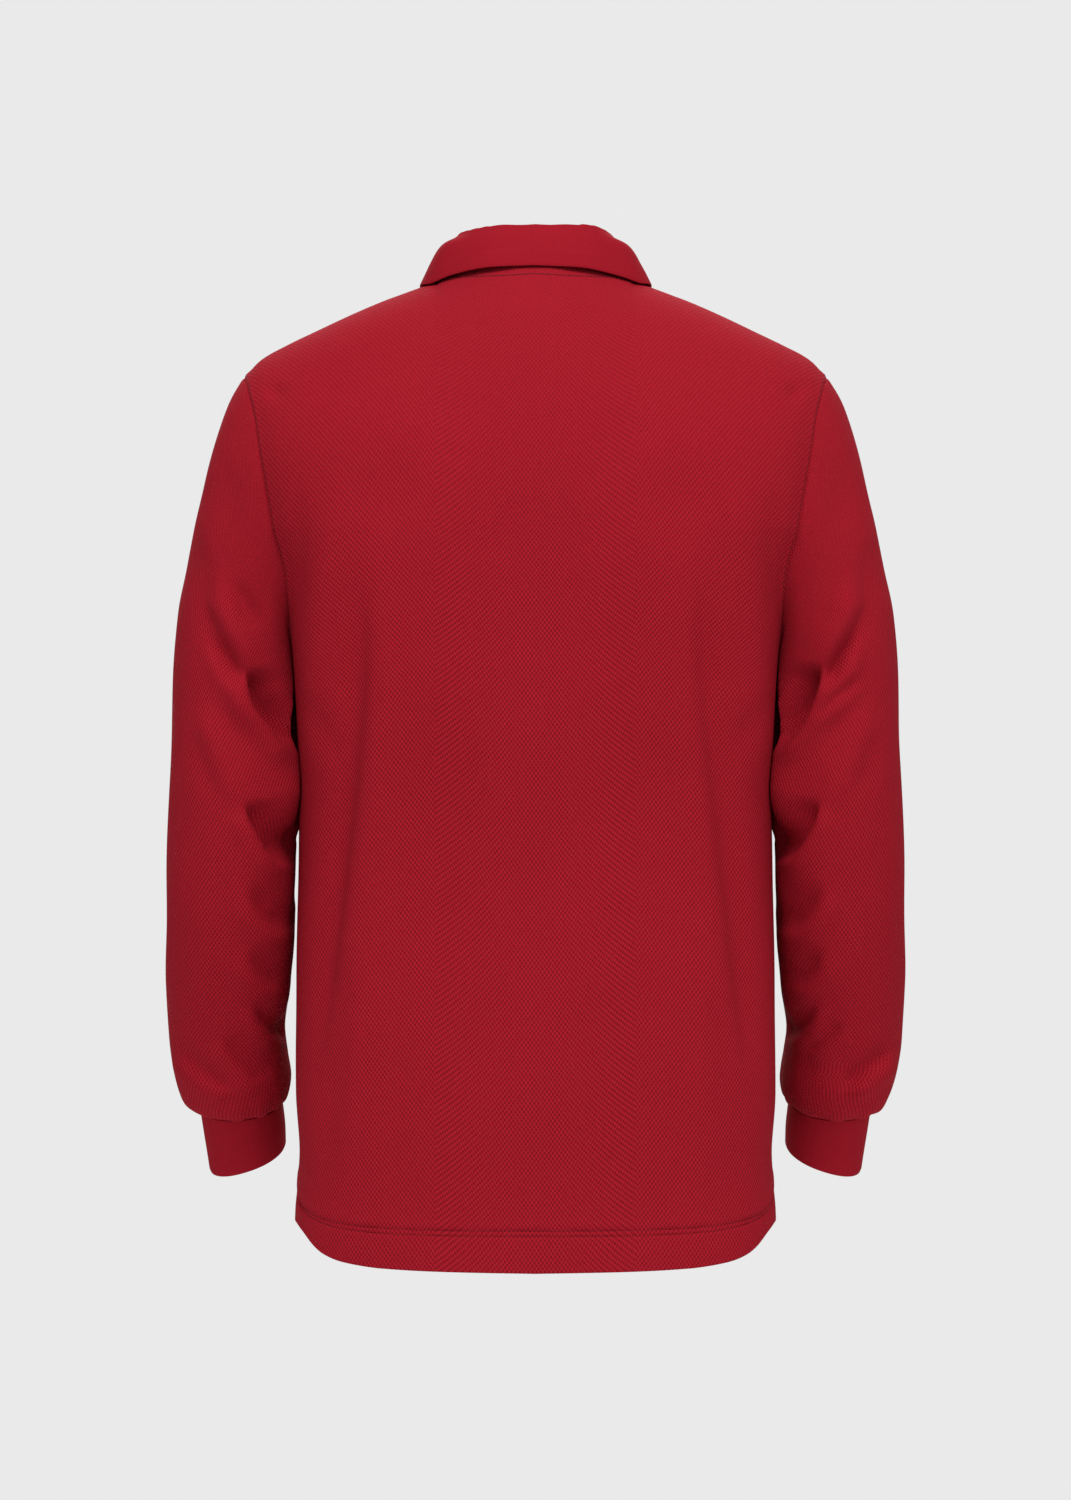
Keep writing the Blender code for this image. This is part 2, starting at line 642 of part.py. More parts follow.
def build_panel(side, panels, sleeve_directions, collection):
    grid, normals = panels[side]
    rows, columns, _ = grid.shape
    underarm = len(LOWER_HEIGHTS) - 1
    lean = normals.copy()
    armhole = slice(underarm, None)
    mirrored = sleeve_directions * np.array([-1, 1, 1])
    lean[armhole, -1] = shared_lean(normals[armhole, -1], sleeve_directions)
    lean[armhole, 0] = shared_lean(normals[armhole, 0], mirrored)
    move = pull_back(grid, side)
    inner = inward(grid, normals, lean, cloth_thickness(rows, columns)) + move
    outer = grid + move
    middle = columns // 2
    slit = notch_row()

    def keep(r, c):
        return side == "back" or r < slit or c not in (middle - 1, middle)

    cells = grid_cells(rows, columns, flip=side == "back", keep=keep)
    return add_wall(side, outer, inner, cells, "pique_red", collection)


# --- sleeves and cuffs ---


def sleeve_sizes(share, table):
    """The sizes of a ring, share of the way down a table of rings."""
    steps = np.linspace(0, 1, len(table))
    names = SleeveRow._fields
    return SleeveRow(*(float(through(share, steps, column(table, name))) for name in names))


def even_angles(count, wide, deep, square):
    """Angles that space points evenly round a section."""
    angle = np.linspace(0, 2 * math.pi, RING_STEPS + 1)
    x = wide * power(np.cos(angle), 2 / square)
    y = deep * power(np.sin(angle), 2 / square)
    length = np.concatenate([[0], np.cumsum(np.hypot(np.diff(x), np.diff(y)))])
    return np.interp(np.arange(count) / count * length[-1], length, angle)


def section_ring(sizes, count):
    """A level ring of points, from the outside over the back to the inside and the front."""
    outer = np.array([sizes.outer_x, sizes.middle_y, sizes.outer_z])
    inner = np.array([sizes.inner_x, sizes.middle_y, sizes.inner_z])
    wide = (outer - inner) / 2
    tip = math.radians(sizes.tip)
    deep = sizes.depth * np.array([0, math.cos(tip), -math.sin(tip)])
    angle = even_angles(count, np.linalg.norm(wide), sizes.depth, sizes.square)
    around = power(np.cos(angle), 2 / sizes.square)[:, None] * wide
    through_depth = power(np.sin(angle), 2 / sizes.square)[:, None] * deep
    return (outer + inner) / 2 + around + through_depth


def carried_loop(loop, sizes):
    """The armhole's own shape, moved so that its ends meet a ring's outer and inner points."""
    half = len(loop) // 2
    top, bottom = loop[0], loop[half]
    run = top - bottom
    share = ((loop - bottom) @ run) / (run @ run)
    rest = loop - bottom - share[:, None] * run
    outer = np.array([sizes.outer_x, sizes.middle_y + top[1], sizes.outer_z])
    inner = np.array([sizes.inner_x, sizes.middle_y + bottom[1], sizes.inner_z])
    return inner + share[:, None] * (outer - inner) + rest


def sleeve_grid(loop):
    """Rings of the left sleeve from the armhole down to the cuff seam."""
    count = len(loop)
    rings = [loop]
    for k in range(1, SLEEVE_RINGS + 1):
        sizes = sleeve_sizes(k / SLEEVE_RINGS, SLEEVE)
        mix = float(smooth_step(k, 0, ARMHOLE_BLEND_RINGS))
        ring = section_ring(sizes, count)
        if mix < 1:
            ring = ring * mix + carried_loop(loop, sizes) * (1 - mix)
        rings.append(ring)
    return np.array(rings)


def add_sleeve_folds(grid, normals):
    rings, count, _ = grid.shape
    turn = np.arange(count) / count * 360
    along = np.arange(rings) / (rings - 1)
    step = np.linalg.norm(np.diff(grid, axis=0), axis=2).mean(axis=1).sum()
    lift = np.zeros((rings, count))
    for fold in SLEEVE_FOLDS:
        start = np.array([fold.turn0 / 360 * MEAN_SLEEVE_GIRTH, fold.along0 * step])
        run = np.array([fold.turn1 / 360 * MEAN_SLEEVE_GIRTH, fold.along1 * step]) - start
        x = turn[None, :] / 360 * MEAN_SLEEVE_GIRTH - start[0]
        y = along[:, None] * step - start[1]
        share = np.clip((x * run[0] + y * run[1]) / (run @ run), 0, 1)
        far = np.hypot(x - share * run[0], y - share * run[1])
        lift += fold.depth * np.exp(-((far / fold.width) ** 2))
    lift[0] = 0
    lift[1] *= 0.5
    lift[-1] = 0
    return grid + normals * lift[..., None]


def cuff_grid(count):
    rings = []
    for k in range(CUFF_RINGS):
        sizes = sleeve_sizes(k / (CUFF_RINGS - 1), CUFF)
        rings.append(section_ring(sizes, count))
    return np.array(rings)


def mirrored_wall(name, outer, inner, cells, finish, collection):
    flip = np.array([-1, 1, 1])
    turned = [cell[::-1] for cell in cells]
    return add_wall(name, outer * flip, inner * flip, turned, finish, collection)


def build_sleeves(panels, collection):
    """Both sleeves and cuffs. Gives back the sleeve's outward directions at the armhole."""
    loop = armhole_loop(panels, 0)
    along = unit(np.roll(loop, -1, axis=0) - np.roll(loop, 1, axis=0))
    outwards = np.array([1.0, 0, 0])
    loop = loop + unit(outwards - along * along[:, :1]) * ARMHOLE_GAP
    body_way = armhole_loop(panels, 1)
    grid = sleeve_grid(loop)
    grid = add_sleeve_folds(grid, grid_normals(grid, wrap=True, flip=True))
    normals = grid_normals(grid, wrap=True, flip=True)
    rings, count, _ = grid.shape
    cuff = cuff_grid(count)
    cuff_normals = grid_normals(cuff, wrap=True, flip=True)
    lean = normals.copy()
    lean[0] = shared_lean(normals[0], body_way)
    lean[-1] = shared_lean(normals[-1], cuff_normals[0])
    cuff_lean = cuff_normals.copy()
    cuff_lean[0] = shared_lean(cuff_normals[0], normals[-1])
    inner = inward(grid, normals, lean, CLOTH)
    cuff_inner = inward(cuff, cuff_normals, cuff_lean, CUFF_CLOTH)
    cells = grid_cells(rings, count, wrap=True, flip=True)
    cuff_cells = grid_cells(CUFF_RINGS, count, wrap=True, flip=True)
    for build, hand in ((add_wall, "left"), (mirrored_wall, "right")):
        build(f"sleeve_{hand}", grid, inner, cells, "pique_red", collection)
        build(f"cuff_{hand}", cuff, cuff_inner, cuff_cells, "rib_red", collection)
    return normals[0]


# --- placket and buttons ---


def placket_strip(panels, out_by, thickness, name, collection):
    """A strip in the front's slit, its outer face moved out from the panel's own points."""
    grid, normals = panels["front"]
    middle = grid.shape[1] // 2
    slit = notch_row()
    strip = grid[slit:, middle - 1 : middle + 2].copy()
    way = normals[slit:, middle - 1 : middle + 2]
    strip[..., 0] *= 1 - 2 * SEAM_GAP / PLACKET_WIDTH
    strip[0] += unit(strip[1] - strip[0]) * SEAM_GAP
    strip[-1] += unit(strip[-2] - strip[-1]) * SEAM_GAP
    outer = strip + way * out_by
    inner = strip + way * (out_by - thickness)
    cells = grid_cells(*strip.shape[:2])
    return add_wall(name, outer, inner, cells, "pique_red", collection)


def build_button(number, place, way, collection):
    profile = [(BUTTON_RADIUS * p.out, 0, BUTTON_THICKNESS * p.up) for p in BUTTON_PROFILE]
    mesh = bpy.data.meshes.new(f"button_{number}")
    edges = [(i, i + 1) for i in range(len(profile) - 1)]
    mesh.from_pydata(profile, edges, [])
    button = bpy.data.objects.new(f"button_{number}", mesh)
    turn = button.modifiers.new("turn", "SCREW")
    turn.axis = "Z"
    turn.steps = BUTTON_STEPS
    turn.render_steps = BUTTON_STEPS
    turn.use_merge_vertices = True
    turn.merge_threshold = MERGE_DISTANCE
    turn.use_smooth_shade = True
    mesh.materials.append(finish_material("button_red"))
    facing = Vector(way).to_track_quat("Z", "Y")
    button.matrix_world = Matrix.Translation(Vector(place)) @ facing.to_matrix().to_4x4()
    collection.objects.link(button)


def build_placket(panels, collection):
    placket_strip(panels, PLACKET_PROUD, PLACKET_CLOTH, "placket_upper", collection)
    placket_strip(panels, -UNDER_PLACKET_DEPTH, CLOTH, "placket_under", collection)
    grid, normals = panels["front"]
    middle = grid.shape[1] // 2
    line = grid[::-1, middle]
    way = normals[::-1, middle]
    down = np.concatenate([[0], np.cumsum(np.linalg.norm(np.diff(line, axis=0), axis=1))])
    for number in range(BUTTON_COUNT):
        at = FIRST_BUTTON_DOWN + number * BUTTON_SPACING
        place = np.array([np.interp(at, down, line[:, k]) for k in range(3)])
        facing = unit(np.array([np.interp(at, down, way[:, k]) for k in range(3)]))
        place = place + facing * (PLACKET_PROUD + SEAM_GAP)
        build_button(number + 1, place, facing, collection)


# --- collar ---


def neckline(panels, what):
    """The neck edge from the centre front round the left to the centre back."""
    columns = panels["front"][0].shape[1]
    middle = columns // 2
    front = panels["front"][what][-1, middle : middle + NECK_COLUMNS + 1]
    back = panels["back"][what][-1, middle : middle + NECK_COLUMNS][::-1]
    return np.concatenate([front, back])


def collar_stations(panels):
    """Points on the neck edge, their outward directions and their share of the way round."""
    edge = neckline(panels, 0)
    ways = neckline(panels, 1)
    start = COLLAR_FRONT_GAP / 2 / edge[1, 0]
    edge[0] = edge[0] + (edge[1] - edge[0]) * start
    points, directions = [edge[0]], [ways[0]]
    for i in range(len(edge) - 1):
        for part in (0.5, 1.0):
            points.append(edge[i] + (edge[i + 1] - edge[i]) * part)
            directions.append(unit(ways[i] + (ways[i + 1] - ways[i]) * part))
    points, directions = np.array(points), np.array(directions)
    run = np.concatenate([[0], np.cumsum(np.linalg.norm(np.diff(points, axis=0), axis=1))])
    return points, directions, run / run[-1]


def guide(share, table):
    return np.stack([from_table(share, table, "share", name) for name in ("x", "y", "z")], axis=1)


def collar_middle(points, ways, share):
    """Rows of points through the middle of the collar's cloth: up the stand, over and down."""
    fold = guide(share, FOLD_LINE)
    leaf = guide(share, LEAF_EDGE)
    run = unit(np.gradient(points, axis=0))
    inside = unit(np.cross(ways, run))
    foot = points - ways * (CLOTH / 2) + inside * COLLAR_FOOT_GAP
    rise = fold - foot
    fall = leaf - fold
    away = unit(np.cross(run, unit(fall)))
    rows = [foot]
    rows += [foot + rise * row.share + inside * row.inside for row in STAND_ROWS]
    rows.append(fold - unit(rise) * FOLD_BEFORE)
    rows.append(fold + unit(fall - rise) * FOLD_OUT + unit(rise) * FOLD_UP)
    rows.append(fold + unit(fall) * FOLD_AFTER - away * FOLD_SINK)
    rows += [fold + fall * row.share - away * row.inside for row in FALL_ROWS]
    rows.append(leaf)
    return np.array(rows)


def lifted(point, tree, clearance):
    """A point moved out until it clears the body's cloth."""
    near, way, _, _ = tree.find_nearest(Vector(point))
    high = (Vector(point) - near).dot(way)
    if high < clearance:
        point = np.array(point) + np.array(way) * (clearance - high)
    return point


def body_tree(panels):
    """The outside of the body, with the placket's face, for resting the collar on."""
    points, faces = [], []
    for side in ("back", "front"):
        grid, normals = panels[side]
        skin = grid.copy()
        if side == "front":
            middle = grid.shape[1] // 2
            skin[notch_row() :, middle - 1 : middle + 2] += (
                normals[notch_row() :, middle - 1 : middle + 2] * PLACKET_PROUD
            )
        start = len(points)
        points += [tuple(p) for p in skin.reshape(-1, 3)]
        cells = grid_cells(*skin.shape[:2], flip=side == "back")
        faces += [[start + v for v in cell] for cell in cells]
    return BVHTree.FromPolygons(points, faces)


def build_collar(panels, collection):
    points, ways, share = collar_stations(panels)
    half = collar_middle(points, ways, share)
    tree = body_tree(panels)
    clearance = COLLAR_CLEARANCE + COLLAR_CLOTH / 2
    for row in half[-len(FALL_ROWS) - 1 :]:
        for i in range(len(row)):
            row[i] = lifted(row[i], tree, clearance)
    right = half[:, :-1] * np.array([-1, 1, 1])
    middle = np.concatenate([right, half[:, ::-1]], axis=1)
    ways_out = grid_normals(middle)
    thick = COLLAR_CLOTH / 2
    outer = middle + ways_out * thick
    inner = middle - ways_out * thick
    cells = grid_cells(*middle.shape[:2])
    return add_wall("collar", outer, inner, cells, "rib_red", collection)


def main():
    for thing in list(bpy.data.objects):
        bpy.data.objects.remove(thing, do_unlink=True)
    collection = bpy.data.collections.new(COLLECTION)
    bpy.context.scene.collection.children.link(collection)
    panels = torso_panels()
    sleeve_ways = build_sleeves(panels, collection)
    half = len(BACK_ARMHOLE) - 1 + BACK_TOP_ROWS
    build_panel("back", panels, sleeve_ways[: half + 1][::-1], collection)
    front_ways = np.concatenate([sleeve_ways[half:], sleeve_ways[:1]])
    build_panel("front", panels, front_ways, collection)
    build_placket(panels, collection)
    build_collar(panels, collection)


main()
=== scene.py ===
# Long-sleeve polo shirt, red pique knit, filled out with nobody in it.
# Metres. The front faces -Y, the wearer's left is +X, the shoulders' high points are at z = 0.
import math

import bmesh
import bpy
import numpy as np
from mathutils import Matrix, Vector
from mathutils.bvhtree import BVHTree


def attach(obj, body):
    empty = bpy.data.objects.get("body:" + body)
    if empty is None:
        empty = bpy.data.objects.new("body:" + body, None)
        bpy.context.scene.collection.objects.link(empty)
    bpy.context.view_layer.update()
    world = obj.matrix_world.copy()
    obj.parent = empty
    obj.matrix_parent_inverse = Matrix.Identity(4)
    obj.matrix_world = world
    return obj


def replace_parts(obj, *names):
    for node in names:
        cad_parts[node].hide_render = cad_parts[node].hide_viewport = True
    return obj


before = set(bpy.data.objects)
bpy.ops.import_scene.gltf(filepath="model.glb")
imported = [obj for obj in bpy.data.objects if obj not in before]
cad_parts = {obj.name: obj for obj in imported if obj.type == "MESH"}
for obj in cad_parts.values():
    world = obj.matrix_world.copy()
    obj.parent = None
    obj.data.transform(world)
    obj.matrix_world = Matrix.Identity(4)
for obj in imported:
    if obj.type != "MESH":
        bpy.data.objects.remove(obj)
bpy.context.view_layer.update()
scene = bpy.context.scene
print("frame loaded:", len(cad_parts), "nodes")


def addObject(name, data):
    piece = bpy.data.objects.new(name, data)
    scene.collection.objects.link(piece)
    return piece


def meshFrom(name, shape):
    mesh = bpy.data.meshes.new(name)
    shape.to_mesh(mesh)
    shape.free()
    return mesh


def bake(piece):
    # the modifiers become plain mesh
    done = bpy.data.meshes.new_from_object(piece.evaluated_get(bpy.context.evaluated_depsgraph_get()))
    piece.modifiers.clear()
    piece.data = done
    return done


def addNode(tree, kind, *inputs, **settings):
    # each input is a socket's name or number, and a value or another node's output
    node = tree.nodes.new(kind)
    for key, value in settings.items():
        setattr(node, key, value)
    for key, value in inputs:
        if hasattr(value, "is_output"):
            tree.links.new(value, node.inputs[key])
        else:
            node.inputs[key].default_value = value
    return node.outputs


def give(piece):
    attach(piece, "root")
    return piece


# camera, lights and floor

studio = {
    "cameraDistance": 3.2,
    "cameraHeight": -0.35,
    "visibleHeight": 1.14,      # metres seen from top to bottom of the frame
    "backdrop": 0.823,          # pale grey, linear
    "ambient": 0.50,
    "floorHeight": -1.42,
    "floorRadius": 2.4,
}


def placeCamera():
    data = bpy.data.cameras.new("camera")
    camera = addObject("camera", data)
    camera.location = (0, studio["cameraDistance"], studio["cameraHeight"])
    camera.rotation_euler = (math.pi / 2, 0, math.pi)
    data.sensor_width = 36
    data.lens = 36 * studio["cameraDistance"] / studio["visibleHeight"]
    data.clip_start = 0.05
    data.clip_end = 50
    data.dof.use_dof = False
    scene.camera = camera


def addSoftbox(name, place, aim, size, power):
    data = bpy.data.lights.new(name, "AREA")
    data.shape = "RECTANGLE"
    data.size, data.size_y = size
    data.energy = power
    lamp = addObject(name, data)
    lamp.location = place
    lamp.rotation_euler = (Vector(aim) - Vector(place)).to_track_quat("-Z", "Y").to_euler()


def setWorld():
    world = bpy.data.worlds.new("studio")
    scene.world = world
    world.use_nodes = True
    tree = world.node_tree
    tree.nodes.clear()
    grey = studio["backdrop"]
    rays = addNode(tree, "ShaderNodeLightPath")
    lit = addNode(tree, "ShaderNodeBackground", ("Color", (1, 1, 1, 1)), ("Strength", studio["ambient"]))
    seen = addNode(tree, "ShaderNodeBackground", ("Color", (grey, grey, grey, 1)))
    mix = addNode(tree, "ShaderNodeMixShader", ("Fac", rays["Is Camera Ray"]), (1, lit[0]), (2, seen[0]))
    addNode(tree, "ShaderNodeOutputWorld", ("Surface", mix[0]))


def addFloor():
    shape = bmesh.new()
    bmesh.ops.create_circle(shape, cap_ends=True, segments=96, radius=studio["floorRadius"])
    bmesh.ops.translate(shape, verts=shape.verts, vec=(0, 0, studio["floorHeight"]))
    floor = addObject("studio_floor", meshFrom("studio_floor", shape))
    finish = bpy.data.materials.new("floor_paint")
    finish.use_nodes = True
    shader = finish.node_tree.nodes["Principled BSDF"]
    shader.inputs["Base Color"].default_value = (0.80, 0.80, 0.80, 1)
    shader.inputs["Roughness"].default_value = 0.9
    floor.data.materials.append(finish)


placeCamera()
setWorld()
addFloor()
addSoftbox("key_above", (-0.10, 2.0, 2.6), (0, 0, -0.30), (2.2, 1.6), 80)
addSoftbox("front_fill", (-0.7, 3.6, 0.6), (0, 0, -0.30), (2.4, 2.4), 24)
addSoftbox("far_side_above", (0, -2.6, 2.0), (0, 0, -0.35), (2.4, 1.6), 62)
addSoftbox("far_side_fill", (0.4, -3.4, 0.2), (0, 0, -0.40), (2.4, 2.4), 26)
scene.view_settings.view_transform = "Standard"
print("camera, lights and floor are set")


# small helpers

def table(names, text):
    # named columns of numbers; a row ends with its line or at a semicolon
    rows = [[float(word) for word in row.split()] for row in text.replace("\n", ";").split(";") if row.strip()]
    return {name: np.array(values) for name, values in zip(names.split(), zip(*rows))}


def smoothStep(value, low, high):
    t = np.clip((np.asarray(value, float) - low) / (high - low), 0, 1)
    return t * t * (3 - 2 * t)


def unit(v):
    return v / np.maximum(np.linalg.norm(v, axis=-1, keepdims=True), 1e-12)


def signedPower(value, exponent):
    return np.sign(value) * np.abs(value) ** exponent


def mound(far, wide):
    return np.exp(-((far / wide) ** 2))


def lengths(points):
    # how far along the line each of its points lies
    return np.concatenate([[0], np.cumsum(np.linalg.norm(np.diff(points, axis=0), axis=1))])


def valuesAt(at, far, values):
    return np.stack([np.interp(at, far, values[:, k]) for k in range(3)], axis=-1)


def through(at, xs, ys):
    # smooth curve through the points that never overshoots them
    at = np.clip(np.asarray(at, float), xs[0], xs[-1])
    steps = np.diff(xs)
    slopes = np.diff(ys) / steps
    same = slopes[:-1] * slopes[1:] > 0
    wa, wb = 2 * steps[1:] + steps[:-1], steps[1:] + 2 * steps[:-1]
    before, after = np.where(same, slopes[:-1], 1), np.where(same, slopes[1:], 1)
    tangent = np.zeros(len(xs))
    tangent[1:-1] = np.where(same, (wa + wb) / (wa / before + wb / after), 0)
    tangent[0], tangent[-1] = slopes[0], slopes[-1]
    i = np.clip(np.searchsorted(xs, at, side="right") - 1, 0, len(xs) - 2)
    t = (at - xs[i]) / steps[i]
    level = ys[i] * (1 + 2 * t) * (1 - t) ** 2 + ys[i + 1] * t * t * (3 - 2 * t)
    return level + steps[i] * (tangent[i] * t * (1 - t) ** 2 - tangent[i + 1] * t * t * (1 - t))


def curvePoints(points, count):
    # a rounded path through a few points
    points = np.array(points, float)
    if len(points) < 3:
        return points[0] + (points[-1] - points[0]) * np.linspace(0, 1, count)[:, None]
    far = lengths(points)
    slope = np.gradient(points, far, axis=0)
    at = np.linspace(0, far[-1], count)
    i = np.clip(np.searchsorted(far, at, side="right") - 1, 0, len(far) - 2)
    h = (far[i + 1] - far[i])[:, None]
    t = (at - far[i])[:, None] / h
    level = points[i] * (1 + 2 * t) * (1 - t) ** 2 + points[i + 1] * t * t * (3 - 2 * t)
    return level + h * (slope[i] * t * (1 - t) ** 2 - slope[i + 1] * t * t * (1 - t))


def waver(x, seed, scale):
    # slow uneven wander between -1 and 1, always the same for a seed
    rng = np.random.default_rng(seed)
    total = np.zeros(np.shape(x))
    for k in range(5):
        total = total + np.sin(np.asarray(x) / scale * (1 + 0.83 * k) + rng.uniform(0, 6.28)) / (1 + 0.6 * k)
    return total / 2.2


def gridNormals(grid, wrap=False, flip=False):
    if wrap:
        ring = np.concatenate([grid[:, -1:], grid, grid[:, :1]], axis=1)
        across = (ring[:, 2:] - ring[:, :-2]) / 2
    else:
        across = np.gradient(grid, axis=1)
    normal = np.cross(across, np.gradient(grid, axis=0))
    return unit(-normal if flip else normal)


def gridCells(rows, columns, flip=False, keep=None):
    r, c = (index.ravel() for index in np.meshgrid(np.arange(rows - 1), np.arange(columns - 1), indexing="ij"))
    if keep is not None:
        chosen = keep(r, c)
        r, c = r[chosen], c[chosen]
    corner = r * columns + c
    cells = np.stack([corner, corner + 1, corner + columns + 1, corner + columns], axis=1)
    return cells[:, ::-1] if flip else cells


def wallMesh(name, outer, inner, cells, uv, finish, mirrored=False, tube=False):
    # outer and inner faces of a cloth wall, with the rim that joins them; a tube has no rim along its seam
    columns = outer.shape[1]
    outer, inner = outer.reshape(-1, 3), inner.reshape(-1, 3)
    if mirrored:
        outer, inner = outer * (-1, 1, 1), inner * (-1, 1, 1)
        cells = cells[:, ::-1]
    count = len(outer)
    edges = np.concatenate([np.stack([cells[:, i], cells[:, (i + 1) % 4]], axis=1) for i in range(4)])
    rim = edges[~np.isin(edges @ (count, 1), edges @ (1, count))]
    if tube:
        rim = rim[(rim[:, 0] - rim[:, 1]) % columns != 0]
    rimCells = np.stack([rim[:, 1], rim[:, 0], rim[:, 0] + count, rim[:, 1] + count], axis=1)
    faces = np.concatenate([cells, cells[:, ::-1] + count, rimCells])
    points = np.concatenate([outer, inner])
    used = np.unique(faces)
    place = np.zeros(len(points), int)
    place[used] = np.arange(len(used))
    mesh = bpy.data.meshes.new(name)
    mesh.from_pydata(points[used].tolist(), [], place[faces].tolist())
    both = np.tile(uv.reshape(-1, 2), (2, 1))
    layer = mesh.uv_layers.new(name="cloth")
    layer.data.foreach_set("uv", both[faces.ravel()].astype(np.float32).ravel())
    mesh.materials.append(finish)
    mesh.shade_smooth()
    mesh.set_sharp_from_angle(angle=math.radians(50))
    return give(addObject(name, mesh))


def runs(grid, axis):
    # how far along its row or its column each point lies
    steps = np.linalg.norm(np.diff(grid, axis=axis), axis=2)
    start = np.zeros_like(steps[:, :1] if axis else steps[:1])
    return np.concatenate([start, np.cumsum(steps, axis=axis)], axis=axis)


def gridUv(grid):
    # lengths along the cloth in metres, from the middle column and the last row
    middle = grid.shape[1] // 2
    u, v = runs(grid, 1), runs(grid, 0)
    u = u - u[:, middle : middle + 1]
    v = v - v[-1:]
    level = np.broadcast_to(np.median(v, axis=1, keepdims=True), v.shape)
    return np.stack([u, 0.5 * v + 0.5 * level], axis=2)


# materials

class Shader:
    # short names for building a material
    def __init__(self, name):
        self.material = bpy.data.materials.new(name)
        self.material.use_nodes = True
        self.tree = self.material.node_tree

    def node(self, kind, *inputs, **settings):
        return addNode(self.tree, kind, *inputs, **settings)

    def math(self, operation, a, b=0.0, c=0.0):
        return self.node("ShaderNodeMath", (0, a), (1, b), (2, c), operation=operation)[0]

    def place(self):
        return self.node("ShaderNodeTexCoord")["Object"]

    def noise(self, scale, detail=2.0, rough=0.5):
        return self.node("ShaderNodeTexNoise", ("Vector", self.place()), ("Scale", scale),
                         ("Detail", detail), ("Roughness", rough))["Fac"]

    def ramp(self, value, low, high, toLow, toHigh):
        names = ("Value", "From Min", "From Max", "To Min", "To Max")
        return self.node("ShaderNodeMapRange", *zip(names, (value, low, high, toLow, toHigh)))["Result"]

    def mixColour(self, factor, a, b):
        return self.node("ShaderNodeMix", ("Factor", factor), ("A", a), ("B", b), data_type="RGBA")["Result"]

    def parts(self, vector):
        return self.node("ShaderNodeSeparateXYZ", (0, vector))[:]

    def clothUv(self):
        return self.parts(self.node("ShaderNodeUVMap", uv_map="cloth")["UV"])[:2]

    def mottle(self, tone, heatherScale, heather, patchScale, patch):
        # fine and wide unevenness of the dye
        for scale, detail, rough, by in ((heatherScale, 1.0, 0.6, heather), (patchScale, 3.0, 0.5, patch)):
            tone = self.math("ADD", tone, self.ramp(self.noise(scale, detail, rough), 0.3, 0.7, -by, by))
        return tone

    def finish(self, colour, height=None, distance=0.0, **constants):
        sockets = self.tree.nodes["Principled BSDF"].inputs
        self.tree.links.new(colour, sockets["Base Color"])
        if height is not None:
            bump = self.node("ShaderNodeBump", ("Distance", distance), ("Strength", 1.0), ("Height", height))
            self.tree.links.new(bump["Normal"], sockets["Normal"])
        sockets["Sheen Roughness"].default_value = 0.45
        for name, socket in (("rough", "Roughness"), ("sheen", "Sheen Weight"), ("tint", "Sheen Tint"),
                             ("specular", "Specular IOR Level")):
            if name in constants:
                sockets[socket].default_value = constants[name]
        return self.material


pique = {
    "light": (0.430, 0.0134, 0.0272, 1),
    "dark": (0.170, 0.0046, 0.0094, 1),
    "acrossPeriod": 0.00304,
    "downPeriod": 0.0042,
    "relief": 0.00042,
    "sheen": 0.04,
    "sheenTint": (0.75, 0.06, 0.10, 1),
}


def makePique():
    s = Shader("pique_knit")
    u, v = s.clothUv()
    wander = s.noise(14.0, 1.0)                   # the wales are never quite straight
    u = s.math("MULTIPLY_ADD", wander, 0.0012, u)
    turn = 2 * math.pi
    a = s.math("COSINE", s.math("MULTIPLY", u, turn / pique["acrossPeriod"]))
    b = s.math("COSINE", s.math("MULTIPLY", v, turn / pique["downPeriod"]))
    lattice = s.math("MULTIPLY", a, b)                       # staggered diamonds
    cell = s.ramp(lattice, -0.75, 0.45, 0.0, 1.0)
    fuzz = s.noise(1400.0, 2.0, 0.7)
    height = s.math("MULTIPLY_ADD", fuzz, 0.22, cell)
    # the knit is drawn flatter over the shoulders and the neck
    flatter = s.ramp(s.parts(s.place())[2], -0.24, -0.02, 0.0, 1.0)
    tone = s.ramp(cell, 0.0, 1.0, s.ramp(flatter, 0.0, 1.0, 0.20, 0.43), s.ramp(flatter, 0.0, 1.0, 0.87, 0.70))
    tone = s.mottle(tone, 700.0, 0.10, 9.0, 0.04)
    height = s.math("MULTIPLY", height, s.ramp(flatter, 0.0, 1.0, 1.0, 0.45))
    return s.finish(s.mixColour(tone, pique["dark"], pique["light"]), height, pique["relief"],
                    rough=0.92, sheen=pique["sheen"], tint=pique["sheenTint"], specular=0.04)


flatKnit = {
    "light": (0.354, 0.0103, 0.0214, 1),
    "dark": (0.264, 0.0074, 0.0154, 1),
    "ribWidth": 0.0017,
    "courseHeight": 0.0011,
    "relief": 0.00012,
}


